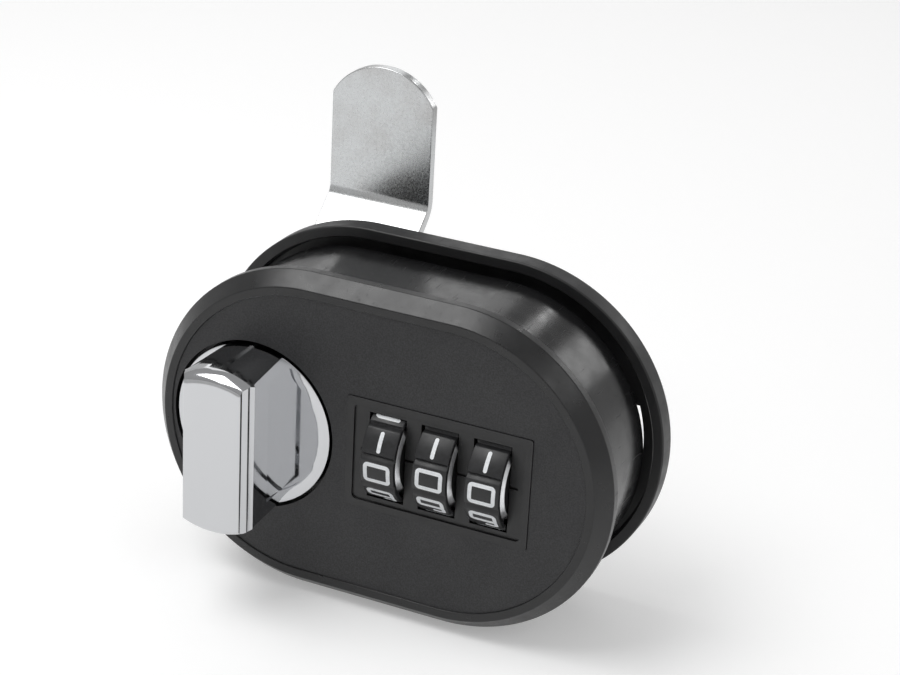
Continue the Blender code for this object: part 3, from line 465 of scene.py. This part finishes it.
def chrome():
    """Chrome on a polished casting, with a slight wave that also clouds its gloss."""
    material, tree, shader = new_material("zinc_casting_polished_chrome_plated", "#c6c7c9", 0.06, 1.0)
    wave = noise(tree, 3.0)
    drive(tree, shader, {"Roughness": spread(tree, wave, 0.05, 0.12),
                         "Normal": bumped(tree, wave, 0.06, 0.05)})
    return material


def zinc_plate(name, light, dark, smooth, rough):
    """Plated or machined metal: fine grit, and clouds where the surface is duller."""
    material, tree, shader = new_material(name, light, 0.5 * (smooth + rough), 1.0)
    grit = noise(tree, 0.35)
    cloud = noise(tree, 6.0, 3.0)
    drive(tree, shader, {"Base Color": tinted(tree, cloud, [(0.36, dark), (0.6, light)]),
                         "Roughness": spread(tree, grit, smooth, rough),
                         "Normal": bumped(tree, grit, 0.15, 0.02)})
    return material


CHROME = chrome()
CAM_STEEL = zinc_plate("rolled_steel_bright_zinc_plated", "#c5c7c8", "#bababa", 0.22, 0.3)
SCREW_STEEL = zinc_plate("turned_steel_zinc_plated", "#c4c6c9", "#a9abae", 0.24, 0.36)
SPRING = zinc_plate("spring_steel_drawn_bright", "#b3b5b8", "#8f9194", 0.2, 0.3)
BRASS = zinc_plate("brass_machined", "#cdb078", "#a88a50", 0.24, 0.34)
print(len(bpy.data.materials), "materials")

# %% [markdown]
# ## Housing
# Plate, ring, bevel and neck are one moulding. The ring round the face is a low flat land with tiny
# round edges, which catch thin lines of light. The profile is followed from the edge of the face round
# to the neck's inner wall.

# %% Profile of the housing
CLAMP_SPOTS = [(sx * 12.5, sz * 15.8) for sx in (1, -1) for sz in (1, -1)]
LID_SPOTS = [(sx * 25.0, sz * 9.5) for sx in (1, -1) for sz in (1, -1)]
KNOB_SPOT = (KNOB_X, 0.0)
EDGE = 0.2
FOOT = 0.3
LONG_STEPS = 162


def turned_edge(radius, depth, size, start, end, steps=3):
    """A round edge about a centre at a radius and a depth; angle 0 points out, 90 to the front."""
    turns = [math.radians(start + (end - start) * k / steps) for k in range(steps + 1)]
    return [(radius + size * math.cos(t), depth - size * math.sin(t)) for t in turns]


HOUSING_PROFILE = [(FACE_RADIUS, 0.0)]
HOUSING_PROFILE += turned_edge(FACE_RADIUS + 0.16, 0.12 - RING_PROUD, 0.12, 160, 90)
HOUSING_PROFILE += turned_edge(CREST_RADIUS - 0.3, 0.3 - RING_PROUD, 0.3, 90, 42)
HOUSING_PROFILE += turned_edge(PLATE_RADIUS - FOOT, 2.1, FOOT, 42, 0)
HOUSING_PROFILE += turned_edge(PLATE_RADIUS - EDGE, PLATE_BACK - EDGE, EDGE, 0, -90)
HOUSING_PROFILE += [(NECK_RADIUS + 0.2, PLATE_BACK), (NECK_RADIUS, PLATE_BACK + 0.2)]
HOUSING_PROFILE += turned_edge(NECK_RADIUS - EDGE, NECK_END - EDGE, EDGE, 0, -90)
HOUSING_PROFILE += [(NECK_INNER, NECK_END), (NECK_INNER, FACE_WALL)]
print(len(HOUSING_PROFILE), "rings")

# %% Housing
BOSS_ROOT = 2.1
SEAT_RADIUS, SEAT_BACK = 13.0, 4.4
TUBE_RADIUS, TUBE_BACK = 7.4, 10.4
CLAMP_POST = 2.4
LID_POST, LID_BACK = 2.0, 14.5
KNOB_HOLE, KNOB_FLOOR = 11.9, 2.6
SPINDLE_HOLE = 4.8
CLAMP_HOLE = 1.55
LID_HOLE = 1.1
AHEAD = -2.0
COVER_LEFT = node_box("dial_cover")[0].x
COVER_RIGHT = COVER_LEFT + 26.1
COVER_HALF = 7.85
WINDOW_GAP = 0.05
WINDOW_BACK = 2.9


def housing():
    """The shell with its knob recess, window, spindle tube and screw posts."""
    piece = rough_piece("housing_shell", spun(HOUSING_PROFILE, steps=LONG_STEPS, run=HALF_RUN))
    bosses = [rod(SEAT_RADIUS, BOSS_ROOT, SEAT_BACK, KNOB_SPOT),
              rod(TUBE_RADIUS, BOSS_ROOT, TUBE_BACK, KNOB_SPOT)]
    bosses += [rod(CLAMP_POST, BOSS_ROOT, NECK_END - 0.1, spot, 32) for spot in CLAMP_SPOTS]
    bosses += [rod(LID_POST, BOSS_ROOT, LID_BACK, spot, 32) for spot in LID_SPOTS]
    carve(piece, bosses, "UNION")
    window = block((COVER_LEFT - WINDOW_GAP, AHEAD, -COVER_HALF - WINDOW_GAP),
                   (COVER_RIGHT + WINDOW_GAP, WINDOW_BACK, COVER_HALF + WINDOW_GAP), 0.4)
    holes = [rod(KNOB_HOLE, AHEAD, KNOB_FLOOR, KNOB_SPOT, 128),
             rod(SPINDLE_HOLE, 1.0, 12.0, KNOB_SPOT), window]
    holes += [rod(CLAMP_HOLE, 7.5, 18.0, spot, 24) for spot in CLAMP_SPOTS]
    holes += [rod(LID_HOLE, 8.5, 15.5, spot, 24) for spot in LID_SPOTS]
    carve(piece, holes)
    finish_piece(piece, "housing", [NYLON, RIM, NECK], "front_housing")
    for polygon in piece.data.polygons:
        middle = in_mm(polygon.center)
        across = math.hypot(max(abs(middle.x) - HALF_RUN, 0.0), middle.z)
        on_face = abs(middle.y) <= 0.01 and polygon.normal.y <= -0.98
        on_neck = across < NECK_RADIUS + 0.05 and middle.y > PLATE_BACK
        polygon.material_index = 0 if on_face else 2 if on_neck else 1
    return keep_flat(piece)


housing()

# %% [markdown]
# ## Dial cover
# The insert clips in from the front. A low frame stands round a sunk field, three slots follow the
# wheels' own curve, and one saw cut across the field leaves the index marks between the wheels. Behind
# it stand the lugs that catch the face, the ears that carry the code shaft and the shelf of the detent
# spring.

# %% Dial cover
SLOT_HALF = 2.65
SLOT_RADIUS = 7.15
COVER_PROUD = 0.15
COVER_BACK = 2.2
SEAM = 2.0
FIELD = 0.15
FIELD_TALL = 6.85
FRAME_WIDE = 1.0
INDEX_Z = 0.45
MARK_HALF = 0.18
MARK_DEEP = 0.3
EAR_HALF, EAR_BACK = 2.6, 6.2
SHAFT_HOLE = 1.3


def dial_cover():
    """The insert with its frame, field, slots, index marks and what stands behind them."""
    left, right = COVER_LEFT, COVER_RIGHT
    first, last = AXES[0].x, AXES[2].x
    frame_low = (left, -COVER_PROUD, -COVER_HALF)
    piece = rough_piece("dial_cover_insert", block(frame_low, (right, COVER_BACK, COVER_HALF), 0.35))
    body = block((left + 0.6, SEAM, -7.5), (right - 0.6, 3.3, 7.5))
    lugs = block((left + 1.0, 2.6, -9.5), (right - 1.0, 3.2, 9.5))
    shelf = block((first - 2.1, 2.8, -10.4), (last + 2.1, 11.2, -9.3))
    ears = [block((start, SEAM, -EAR_HALF), (end, EAR_BACK, EAR_HALF))
            for start, end in ((left, left + 1.7), (right - 2.2, right - 0.5))]
    carve(piece, [body, lugs, shelf] + ears, "UNION")
    inside = block((first - SLOT_HALF - 0.4, COVER_BACK, -7.1), (last + SLOT_HALF + 0.4, 11.25, 7.1))
    field = block((left + FRAME_WIDE, -1.0, -FIELD_TALL), (right - FRAME_WIDE, FIELD, FIELD_TALL), 0.7)
    shaft_hole = along_wheels(rod(SHAFT_HOLE, left - 1.0, right + 1.0, steps=32))
    slots = [along_wheels(rod(SLOT_RADIUS, axis.x - SLOT_HALF, axis.x + SLOT_HALF, steps=120))
             for axis in AXES]
    carve(piece, [inside, field, shaft_hole] + slots)
    marks = block((first - SLOT_HALF - 1.1, -1.0, INDEX_Z - MARK_HALF),
                  (last + SLOT_HALF + 1.1, FIELD + MARK_DEEP, INDEX_Z + MARK_HALF))
    carve(piece, [marks])
    return finish_piece(piece, "housing", [COVER], "dial_cover", edge=0.06)


dial_cover()

# %% [markdown]
# ## Number wheels
# A wheel has ten number fields with a shallow notch between each two, so that a finger can turn it. The
# notch falls away slowly from one field and ends in a step at the next. The wheel is spun as one closed
# profile, and the vertices of its tread are drawn in where a notch runs.

# %% Number wheels
DIGITS = 10
STEP = 360.0 / DIGITS
REST_TURN = (7.4, -0.9, -0.9)
WHEEL_RADIUS = 6.92
WHEEL_HALF = 2.3
WHEEL_RIGHT = 2.5
WHEEL_EDGE = 0.16
WHEEL_BORE = 3.45
RECESS_RADIUS, RECESS_FLOOR = 5.0, 0.1
NOTCH = 0.4
FIELD_HALF = 14.4
STEP_WIDE = 0.9
DISC_SEAT = 6.3
DISC_THICK = 0.95
DISC_PROUD = 0.08
DISC_FIT = 0.02
CONE_INNER = 5.1


def draw_in_notches(bm):
    """Moves the tread's vertices towards the axis Y where a notch runs; angles start at +X."""
    notch_wide = STEP - 2 * FIELD_HALF
    for vert in bm.verts:
        reach = math.hypot(vert.co.x, vert.co.z)
        if reach > DISC_SEAT + 0.1:
            past = (math.degrees(math.atan2(vert.co.z, vert.co.x)) - FIELD_HALF) % STEP
            left = notch_wide - past
            sink = NOTCH * max(min(past / (notch_wide - STEP_WIDE), left / STEP_WIDE), 0.0)
            vert.co.x *= 1 - sink / reach
            vert.co.z *= 1 - sink / reach


def number_wheel(index):
    """One wheel as a closed profile: tread, seat of the disc, bore and recess of the code ring."""
    x, half, side, soft, number = AXES[index].x, WHEEL_HALF, WHEEL_RIGHT, WHEEL_EDGE, index + 1
    tread = [(WHEEL_RADIUS - soft, -half), (WHEEL_RADIUS - 0.3 * soft, 0.3 * soft - half),
             (WHEEL_RADIUS, soft - half), (WHEEL_RADIUS, side - soft),
             (WHEEL_RADIUS - 0.3 * soft, side - 0.3 * soft), (WHEEL_RADIUS - soft, side)]
    seat = [(DISC_SEAT, side), (DISC_SEAT, side - DISC_THICK), (CONE_INNER - DISC_FIT, side - DISC_THICK),
            (CONE_INNER - DISC_FIT, side)]
    bore = [(WHEEL_BORE, side), (WHEEL_BORE, RECESS_FLOOR), (RECESS_RADIUS, RECESS_FLOOR),
            (RECESS_RADIUS, -half)]
    bm = spun([(radius, x + across) for radius, across in tread + seat + bore], steps=360, closed=True)
    draw_in_notches(bm)
    along_wheels(bm)
    bmesh.ops.rotate(bm, verts=bm.verts, cent=(x, AXES[0].y, 0.0),
                     matrix=Matrix.Rotation(math.radians(REST_TURN[index]), 3, "X"))
    piece = rough_piece("wheel_%d_body" % number, bm)
    return finish_piece(piece, "dial_%d" % number, [WHEEL], "number_wheel_%d" % number,
                        crease=50)


def wheel_disc(index):
    """The disc in the right side of a wheel: a ring whose coned face catches the light."""
    number = index + 1
    front = AXES[index].x + WHEEL_RIGHT
    back = front - DISC_THICK
    outer = DISC_SEAT - DISC_FIT
    ring = [(CONE_INNER, back), (outer, back), (outer, back + 0.05),
            (CONE_INNER + 0.1, front + DISC_PROUD), (CONE_INNER, front + DISC_PROUD)]
    piece = rough_piece("wheel_%d_disc" % number, along_wheels(spun(ring, steps=120, closed=True)))
    return finish_piece(piece, "dial_%d" % number, [ALUMINIUM], "wheel_disc_%d" % number)


for wheel in range(3):
    number_wheel(wheel)
for wheel in range(3):
    wheel_disc(wheel)

# %% [markdown]
# ## Digits
# The digits are printed thick, in strokes of even width with round ends. A stroke is drawn as a line on
# a flat strip. Its corners are rounded, the line is raised into a low wall, and the wall gets the
# stroke's width. Then it is sliced across, so that it can be bent round the wheel at its own number.

# %% Centre lines of the digits
DIGIT_WIDE = 3.28
DIGIT_HIGH = 2.38
DIGIT_RIGHT = 0.12
STROKE = 0.54
CORNER = 0.36
SHARP_TURN = 1.2
PROUD = 0.03
SUNK = 0.05
SLICE = 0.23
SLICES = 6
ZERO = [(-1, 0), (-1, 1), (1, 1), (1, -1), (-1, -1), (-1, 0)]
BOWL = [(-1, 0.12), (1, 0.12), (1, -1), (-1, -1), (-1, 0.12)]
DIGIT_LINES = {
    0: [ZERO],
    1: [[(0, -1.2), (0, 1.2)]],
    2: [[(-1, 0.8), (-1, 1.2), (1, 1.2), (1, 0.2), (-1, 0.05), (-1, -0.8), (1, -0.8)]],
    3: [[(-1, 0.6), (-1, 1), (1, 1), (1, 0.05), (-0.3, 0.05)], [(0.9, 0.05), (1, -1), (-1, -1), (-1, -0.6)]],
    4: [[(0.45, -1), (0.45, 1), (-1, -0.4)], [(-1, -0.4), (1, -0.4)]],
    5: [[(1, 1), (-1, 1), (-1, 0.15), (1, 0.15), (1, -1), (-1, -1), (-1, -0.6)]],
    6: [[(0.0, 1), (-1, 1), (-1, 0)], BOWL],
    7: [[(-1, 1), (1, 1), (1, 0.6), (-0.2, -0.4), (-0.2, -1)]],
    8: [ZERO, [(-1, 0.05), (1, 0.05)]],
    9: [[(0.0, -1), (1, -1), (1, 0)], [(-x, -y) for x, y in BOWL]],
}
print(sum(len(lines) for lines in DIGIT_LINES.values()), "strokes")

# %% Strokes bent on to the wheel


def stroke(line):
    """A low wall of the stroke's width along a line, with round corners and ends, flat and upright on Y."""
    bm = bmesh.new()
    closed = line[0] == line[-1]
    points = line[:-1] if closed else line
    spots = [(x * DIGIT_WIDE / 2, 0.0, z * DIGIT_HIGH / 2) for x, z in points]
    bends = [vert for vert in chain(bm, spots, closed)[0] if len(vert.link_edges) == 2]
    rounded(bm, bends, CORNER, 5, "VERTICES")
    drawn_out(bm, bmesh.ops.extrude_edge_only(bm, edges=bm.edges), (0.0, PROUD + SUNK, 0.0))
    piece = carve(thickened(rough_piece("stroke", bm), STROKE), [])
    if closed:
        return piece
    bm = bmesh.new()
    bm.from_mesh(piece.data)
    upright = [edge for edge in bm.edges if depth_of(edge) > SUNK]
    square = [edge for edge in upright if edge.calc_face_angle() > SHARP_TURN]
    rounded(bm, square, 0.48 * STROKE, 6)
    bm.to_mesh(piece.data)
    bm.free()
    return piece


def flat_digits():
    """Every digit as one flat mesh, its strokes joined and sliced across, with its number."""
    drawn = []
    for number, lines in DIGIT_LINES.items():
        strokes = [stroke(line) for line in lines]
        piece = carve(strokes[0], strokes[1:], "UNION")
        bm = bmesh.new()
        bm.from_mesh(piece.data)
        bpy.data.objects.remove(piece)
        for k in range(-SLICES, SLICES + 1):
            bmesh.ops.bisect_plane(bm, geom=bm.verts[:] + bm.edges[:] + bm.faces[:],
                                   plane_co=(0, 0, SLICE * k), plane_no=(0, 0, 1))
        drawn.append((number, bm))
    return drawn


def bend_digits(index, drawn):
    """All ten digits of one wheel: a flat height becomes an angle, and the thickness a radius."""
    axis = AXES[index]
    mesh = bpy.data.meshes.new("wheel_%d_digits" % (index + 1))
    joined = bmesh.new()
    for number, flat in drawn:
        flat.to_mesh(mesh)
        joined.from_mesh(mesh)
        joined.verts.ensure_lookup_table()
        for vert in joined.verts[-len(mesh.vertices):]:
            spin = math.radians(STEP * number - REST_TURN[index]) + vert.co.z / WHEEL_RADIUS
            reach = WHEEL_RADIUS - SUNK + vert.co.y
            vert.co = (axis.x + DIGIT_RIGHT + vert.co.x, axis.y - reach * math.cos(spin),
                       reach * math.sin(spin))
    bpy.data.meshes.remove(mesh)
    piece = rough_piece("wheel_%d_digits" % (index + 1), joined)
    return finish_piece(piece, "dial_%d" % (index + 1), [INK])


DRAWN = flat_digits()
for wheel in range(3):
    bend_digits(wheel, DRAWN)

# %% [markdown]
# ## Knob
# The knob is cast in one piece with its spindle. Its grip has one section all along: a flat front with
# round corners, two ribs set off by thin grooves and a nearly flat flank. Two round envelopes give the
# grip's ends their shape, and the second rolls the upper end further back. Each half of the disc has a
# shallow flat recess, which mirrors the flank and looks greyer than the disc's bright rim.

# %% Section of the grip
GRIP_TOP = -11.0
GRIP_HALF = 4.35
GRIP_FOOT = 4.15
GRIP_ROOT = 0.6
RIB_STEPS = [(-0.1, 0.45), (0.38, 1.25), (0.4, 1.47), (0.8, 2.14), (0.6, 2.3)]
FLANK_TOP, FLANK_END = GRIP_TOP + 2.45, -0.05
FLANK_OUT = 0.5
FLANK_STEPS = 24


def grip_half_section():
    """Points (across, depth) from the middle of the grip's front down to its foot.

    The flank is straight; its short steps keep the shading of the ribs away from it.
    """
    points = [(0.0, GRIP_TOP), (GRIP_HALF - 0.45, GRIP_TOP + 0.02)]
    points += arc((GRIP_HALF - 0.36, GRIP_TOP + 0.25), 0.23, -80, 10, 6)
    points += [(GRIP_HALF + out, GRIP_TOP + back) for out, back in RIB_STEPS]
    for k in range(FLANK_STEPS + 1):
        share = k / FLANK_STEPS
        across = (GRIP_HALF + FLANK_OUT) * (1 - share) + GRIP_FOOT * share
        points.append((across, FLANK_TOP * (1 - share) + FLANK_END * share))
    points.append((GRIP_FOOT, GRIP_ROOT))
    return points


print(len(grip_half_section()), "points in half the section")

# %% Knob
KNOB_RADIUS = 11.45
KNOB_BACK = 2.2
SPINDLE_STEPS = [(4.6, KNOB_BACK), (4.6, 10.7), (4.1, 10.7), (4.1, 13.3), (3.9, 13.3),
                 (3.9, 16.9), (3.4, 16.9), (3.4, 17.7), (3.9, 17.7), (3.9, 23.0)]
CROWNS = [(1.3, 0.0), (2.3, 0.6)]
CROWN_IN = 0.72
TAIL_HALF = 2.7
SCREW_HOLE = 2.1
RIM_WIDE = 1.65
SCOOP_DEPTH = 0.45


def crowned(crown, lower):
    """A round envelope that rolls in towards the front by its crown, with its centre lowered."""
    reach = KNOB_RADIUS + lower
    profile = [(reach, 1.0)]
    for angle in range(0, 91, 6):
        turn = math.radians(angle)
        profile.append((reach - crown * CROWN_IN * (1 - math.cos(turn)),
                        GRIP_TOP + crown * (1 - math.sin(turn))))
    profile.append((reach - crown * CROWN_IN, GRIP_TOP - 0.5))
    return spun(profile, (KNOB_X, -lower), 160)


def knob():
    """Disc, grip and spindle in one casting."""
    radius = KNOB_RADIUS
    rim = [(radius - 0.16, 0.0), (radius - 0.05, 0.05), (radius, 0.16), (radius, KNOB_BACK - 0.15),
           (radius - 0.15, KNOB_BACK)]
    piece = rough_piece("knob_casting", spun(rim + SPINDLE_STEPS, KNOB_SPOT, 160))
    half = [(KNOB_X + x, y) for x, y in grip_half_section()]
    section = half + [(2 * KNOB_X - x, y) for x, y in reversed(half)][:-1]
    grip = rough_piece("grip", plate(section, -13.0, 13.0, "Z"))
    for crown, lower in CROWNS:
        carve(grip, [crowned(crown, lower)], "INTERSECT")
    tail = block((KNOB_X - TAIL_HALF, 22.5, -TAIL_HALF), (KNOB_X + TAIL_HALF, 24.5, TAIL_HALF), 0.6)
    carve(piece, [grip, tail], "UNION")
    chord = math.degrees(math.acos(GRIP_FOOT / (radius - RIM_WIDE)))
    for sign in (1, -1):
        outline = [(KNOB_X + sign * x, z) for x, z in arc((0.0, 0.0), radius - RIM_WIDE, -chord, chord, 64)]
        carve(piece, [rough_piece("scoop", plate(outline, -4.0, SCOOP_DEPTH))])
    carve(piece, [rod(SCREW_HOLE, 16.0, 25.0, KNOB_SPOT, 32)])
    return finish_piece(piece, "knob", [CHROME], "knob", edge=0.06, crease=38)


knob()

# %% [markdown]
# ## Cam
# The cam is stamped from 1.5 mm strip and bent twice. Its side view is a line with two bends, drawn out
# to a strip and given its thickness; the tongue's outline, with a round heel and an arched tip, is then
# punched out of that strip.

# %% Cam
CAM_FRONT = 23.1
CAM_THICK = 1.5
CAM_CRANK = 12.0
CAM_WIDTH = 15.6
CAM_TIP = 40.0
CAM_CORNER = 35.3
BEND_START, BEND_END = 9.15, 20.35
BEND_ROUND = 1.2
STRIP_HALF = 9.0
STRIP_TOP = 42.0
SQUARE_HALF = 2.8


def cam():
    """The cranked tongue with its square hole."""
    bm = bmesh.new()
    near = CAM_FRONT + CAM_THICK / 2
    far = near + CAM_CRANK
    line = [(near, -STRIP_HALF), (near, BEND_START), (far, BEND_END), (far, STRIP_TOP)]
    verts = chain(bm, [(KNOB_X - STRIP_HALF, y, z) for y, z in line])[0]
    rounded(bm, verts[1:3], BEND_ROUND, 10, "VERTICES")
    drawn_out(bm, bmesh.ops.extrude_edge_only(bm, edges=bm.edges), (2 * STRIP_HALF, 0.0, 0.0))
    piece = thickened(rough_piece("cam_tongue", bm), CAM_THICK)
    half = CAM_WIDTH / 2
    rise = CAM_TIP - CAM_CORNER
    tip_round = (half ** 2 + rise ** 2) / (2 * rise)
    sweep = math.degrees(math.asin(half / tip_round))
    points = arc((0.0, 0.0), half, 180, 360, 40)
    points += arc((0.0, CAM_TIP - tip_round), tip_round, 90 - sweep, 90 + sweep, 40)
    carve(piece, [plate([(KNOB_X + x, z) for x, z in points], 20.0, 40.0)], "INTERSECT")
    square = block((KNOB_X - SQUARE_HALF, 20.0, -SQUARE_HALF), (KNOB_X + SQUARE_HALF, 26.0, SQUARE_HALF))
    carve(piece, [square])
    return finish_piece(piece, "knob", [CAM_STEEL], "cam", edge=0.16)


cam()

# %% [markdown]
# ## Rear ring and screws
# The rear ring is a shallow cup a little wider than the plate. It closes on the back of the door, and
# four long screws draw it up. Its floor has one long slot for the spindle and for the turn button that
# sets the code.

# %% Rear ring
REAR_RADIUS = node_box("rear_ring")[1].z
REAR_LIP = REAR_RADIUS - 1.55
REAR_FRONT, REAR_FLOOR, REAR_BACK = 18.1, 19.9, 21.1
SLOT_TALL = 6.2
SLOT_MARGIN = 3.45


def rear_ring():
    """The cup with its slot and screw holes."""
    profile = [(REAR_LIP - 0.3, REAR_FLOOR), (REAR_LIP, REAR_FLOOR - 0.3), (REAR_LIP, REAR_FRONT + 0.15),
               (REAR_LIP + 0.15, REAR_FRONT)]
    profile += turned_edge(REAR_RADIUS - 0.25, REAR_FRONT + 0.25, 0.25, 90, 0)
    profile += turned_edge(REAR_RADIUS - 0.3, REAR_BACK - 0.3, 0.3, 0, -90)
    piece = rough_piece("rear_ring_cup", spun(profile, steps=LONG_STEPS, run=HALF_RUN))
    reach = REAR_RADIUS - SLOT_MARGIN
    sweep = math.degrees(math.asin(SLOT_TALL / reach))
    outline = arc((HALF_RUN, 0.0), reach, -sweep, sweep, 24)
    outline += arc((-HALF_RUN, 0.0), reach, 180 - sweep, 180 + sweep, 24)
    cut_start, cut_end = 19.0, 22.0
    holes = [rod(CLAMP_HOLE, cut_start, cut_end, spot, 32) for spot in CLAMP_SPOTS]
    carve(piece, [plate(outline, cut_start, cut_end)] + holes)
    finish_piece(piece, "housing", [REAR], "rear_ring")
    return keep_flat(piece)


rear_ring()

# %% [markdown]
# The screws that show from behind have a pan head with a crossed recess. Each is one turned shape with
# two cuts.

# %% Screws seen from behind
HEAD_SIDE = 0.45
CROSS_LONG, CROSS_NARROW = 0.55, 0.12


def pan_screw(name, spot, shank, head, thick, start, seat, body):
    """A pan-head screw from where its shank starts to the seat of its head."""
    side = seat + HEAD_SIDE * thick
    profile = [(shank, start), (shank, seat), (head - 0.08, seat), (head, seat + 0.08), (head, side)]
    for angle in (20, 40, 60, 75):
        turn = math.radians(angle)
        profile.append((head * math.cos(turn) ** 0.6, seat + thick * (0.45 + 0.55 * math.sin(turn))))
    piece = rough_piece(name, spun(profile, spot, 48))
    long, narrow = CROSS_LONG * head, CROSS_NARROW * head
    cross = [block((spot[0] - x, side, spot[1] - z), (spot[0] + x, seat + 2 * thick, spot[1] + z))
             for x, z in ((long, narrow), (narrow, long))]
    carve(piece, cross)
    return finish_piece(piece, body, [SCREW_STEEL], name.replace("_turned", ""), edge=0.03)


for k, spot in enumerate(CLAMP_SPOTS):
    pan_screw("clamp_screw_%d_turned" % (k + 1), spot, shank=1.45, head=2.7, thick=1.4, start=8.5,
              seat=REAR_BACK + 0.1, body="housing")
pan_screw("cam_screw_turned", KNOB_SPOT, shank=2.0, head=3.5, thick=2.4, start=17.5, seat=25.8,
          body="knob")

# %% [markdown]
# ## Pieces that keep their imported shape
# The pieces inside are right as they are packed, and so are the turn button and the back cover. They
# only get their real material.

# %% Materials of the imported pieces


def restyle(names, material):
    """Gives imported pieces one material."""
    for name in names:
        slots = frame["nodes"][name].data.materials
        slots.clear()
        slots.append(material)
        print(name, "is", material.name)


restyle(["lock_bar"] + ["cover_screw_%d" % k for k in (1, 2, 3, 4)], SCREW_STEEL)
restyle(["cam_washer", "spindle_clip", "bar_spring", "detent_spring", "code_shaft"], SPRING)
restyle(["lift_cam", "code_ring_1", "code_ring_2", "code_ring_3"], BRASS)
restyle(["back_cover", "code_setter"], REAR)

# %% [markdown]
# ## Camera
# The camera's place, turn and lens were fitted to the outlines in the photograph, so the render can be
# laid over it.

# %% Camera
TURN = 0.419
LIFT = 0.417
ROLL = 0.055
CAMERA_SPOT = Vector((119.481, -245.473, 138.152))
FOCAL_PIXELS = 2354.12
FRAME_WIDTH = 900


def photo_camera():
    """The camera at the photograph's place, with no shift."""
    back = Vector((math.sin(TURN) * math.cos(LIFT), -math.cos(TURN) * math.cos(LIFT), math.sin(LIFT)))
    right = Vector((math.cos(TURN), math.sin(TURN), 0.0))
    up = back.cross(right)
    side = right * math.cos(ROLL) + up * math.sin(ROLL)
    top = up * math.cos(ROLL) - right * math.sin(ROLL)
    data = bpy.data.cameras.new("photo_camera")
    data.lens = FOCAL_PIXELS / FRAME_WIDTH * data.sensor_width
    data.clip_start = 0.005
    made = bpy.data.objects.new("photo_camera", data)
    bpy.context.scene.collection.objects.link(made)
    turn = Matrix((side, top, back)).transposed().to_4x4()
    made.matrix_world = Matrix.Translation(TO_FRAME @ CAMERA_SPOT) @ turn
    bpy.context.scene.camera = made
    print("lens", round(data.lens, 2), "mm")


photo_camera()

# %% [markdown]
# ## Sweep and light
# The lock stands on a round pale sweep, as on a photographer's table. To the camera and in reflections
# the sweep is near white, as paper under studio light is; that comes from a little light of its own in
# those rays, so the lock gets no more light from it. A large box nearly overhead lights the lock, a weak
# one stands at the front right, and three weak ones behind, the last of them narrow, light the neck and
# the cam.

# %% Sweep
PAPER_GLOW = 0.3
FLOOR_REACH = 1.3
FLOOR_CURVE = 0.4


def sweep():
    """A pale floor whose edge curves up all round, in metres."""
    bm = bmesh.new()
    profile = [(0.02, 0.0), (0.6, 0.0), (FLOOR_REACH, 0.0)]
    for angle in (15, 30, 45, 60, 75, 90):
        turn = math.radians(angle)
        profile.append((FLOOR_REACH + FLOOR_CURVE * math.sin(turn), FLOOR_CURVE * (1 - math.cos(turn))))
    profile.append((FLOOR_REACH + FLOOR_CURVE, 0.8))
    ground = cad_box[0][2] - 0.0001
    verts, edges = chain(bm, [(reach, 0.0, ground + rise) for reach, rise in profile])
    bmesh.ops.spin(bm, geom=verts + edges, axis=(0, 0, 1), angle=2 * math.pi, steps=96, use_merge=True)
    bmesh.ops.remove_doubles(bm, verts=bm.verts, dist=0.0001)
    hub = [edge for edge in bm.edges if edge.is_boundary and edge.verts[0].co.xy.length < 0.1]
    bmesh.ops.edgeloop_fill(bm, edges=hub)
    made = rough_piece("sweep", bm)
    made.data.shade_smooth()
    material, tree, shader = new_material("matt_white_paper", "#e6e6e6", 0.9)
    shader.inputs["Specular IOR Level"].default_value = 0.1
    rays = node(tree, "ShaderNodeLightPath").outputs
    seen = rays["Is Camera Ray"]
    for other in ("Is Glossy Ray", "Is Transmission Ray"):
        seen = node(tree, "ShaderNodeMath", {0: seen, 1: rays[other]}, operation="MAXIMUM").outputs["Value"]
    glow = node(tree, "ShaderNodeMath", {0: seen, 1: PAPER_GLOW}, operation="MULTIPLY")
    drive(tree, shader, {"Emission Strength": glow.outputs["Value"]})
    shader.inputs["Emission Color"].default_value = (1.0, 1.0, 1.0, 1.0)
    made.data.materials.append(material)


sweep()

# %% Lights
WORLD_LIGHT = 0.42
BOXES = [
    ("key_box", (-180, -110, 420), (0, 0, 0), (380, 260), 1.4),
    ("right_box", (290, -160, 280), (0, 0, 0), (170, 130), 0.12),
    ("back_box", (-190, 380, 220), (0, 10, 0), (240, 200), 0.12),
    ("back_right_box", (190, 400, 180), (0, 10, 0), (90, 160), 0.1),
    ("strip_box", (30, 380, 246), (0, 10, 0), (24, 60), 0.025),
]


def soft_box(name, spot, target, size, power):
    """A soft rectangular light at a spot, aimed at a point; places and sizes in mm, power in watts."""
    data = bpy.data.lights.new(name, "AREA")
    data.shape = "RECTANGLE"
    data.size, data.size_y = size[0] * MM, size[1] * MM
    data.energy = power
    made = bpy.data.objects.new(name, data)
    bpy.context.scene.collection.objects.link(made)
    made.location = TO_FRAME @ Vector(spot)
    made.rotation_euler = (made.location - TO_FRAME @ Vector(target)).to_track_quat("Z", "Y").to_euler()
    radiance = power / (math.pi * data.size * data.size_y)
    away = (Vector(spot) - Vector(target)).length
    print(name, "radiance", round(radiance, 2), "at", round(away), "mm")


def plain_world(strength):
    """An even pale surround."""
    made = bpy.data.worlds.new("pale_surround")
    made.use_nodes = True
    made.node_tree.nodes["Background"].inputs["Color"].default_value = (1.0, 1.0, 1.0, 1.0)
    made.node_tree.nodes["Background"].inputs["Strength"].default_value = strength
    bpy.context.scene.world = made


plain_world(WORLD_LIGHT)
for box in BOXES:
    soft_box(*box)
bpy.context.scene.view_settings.view_transform = "Standard"
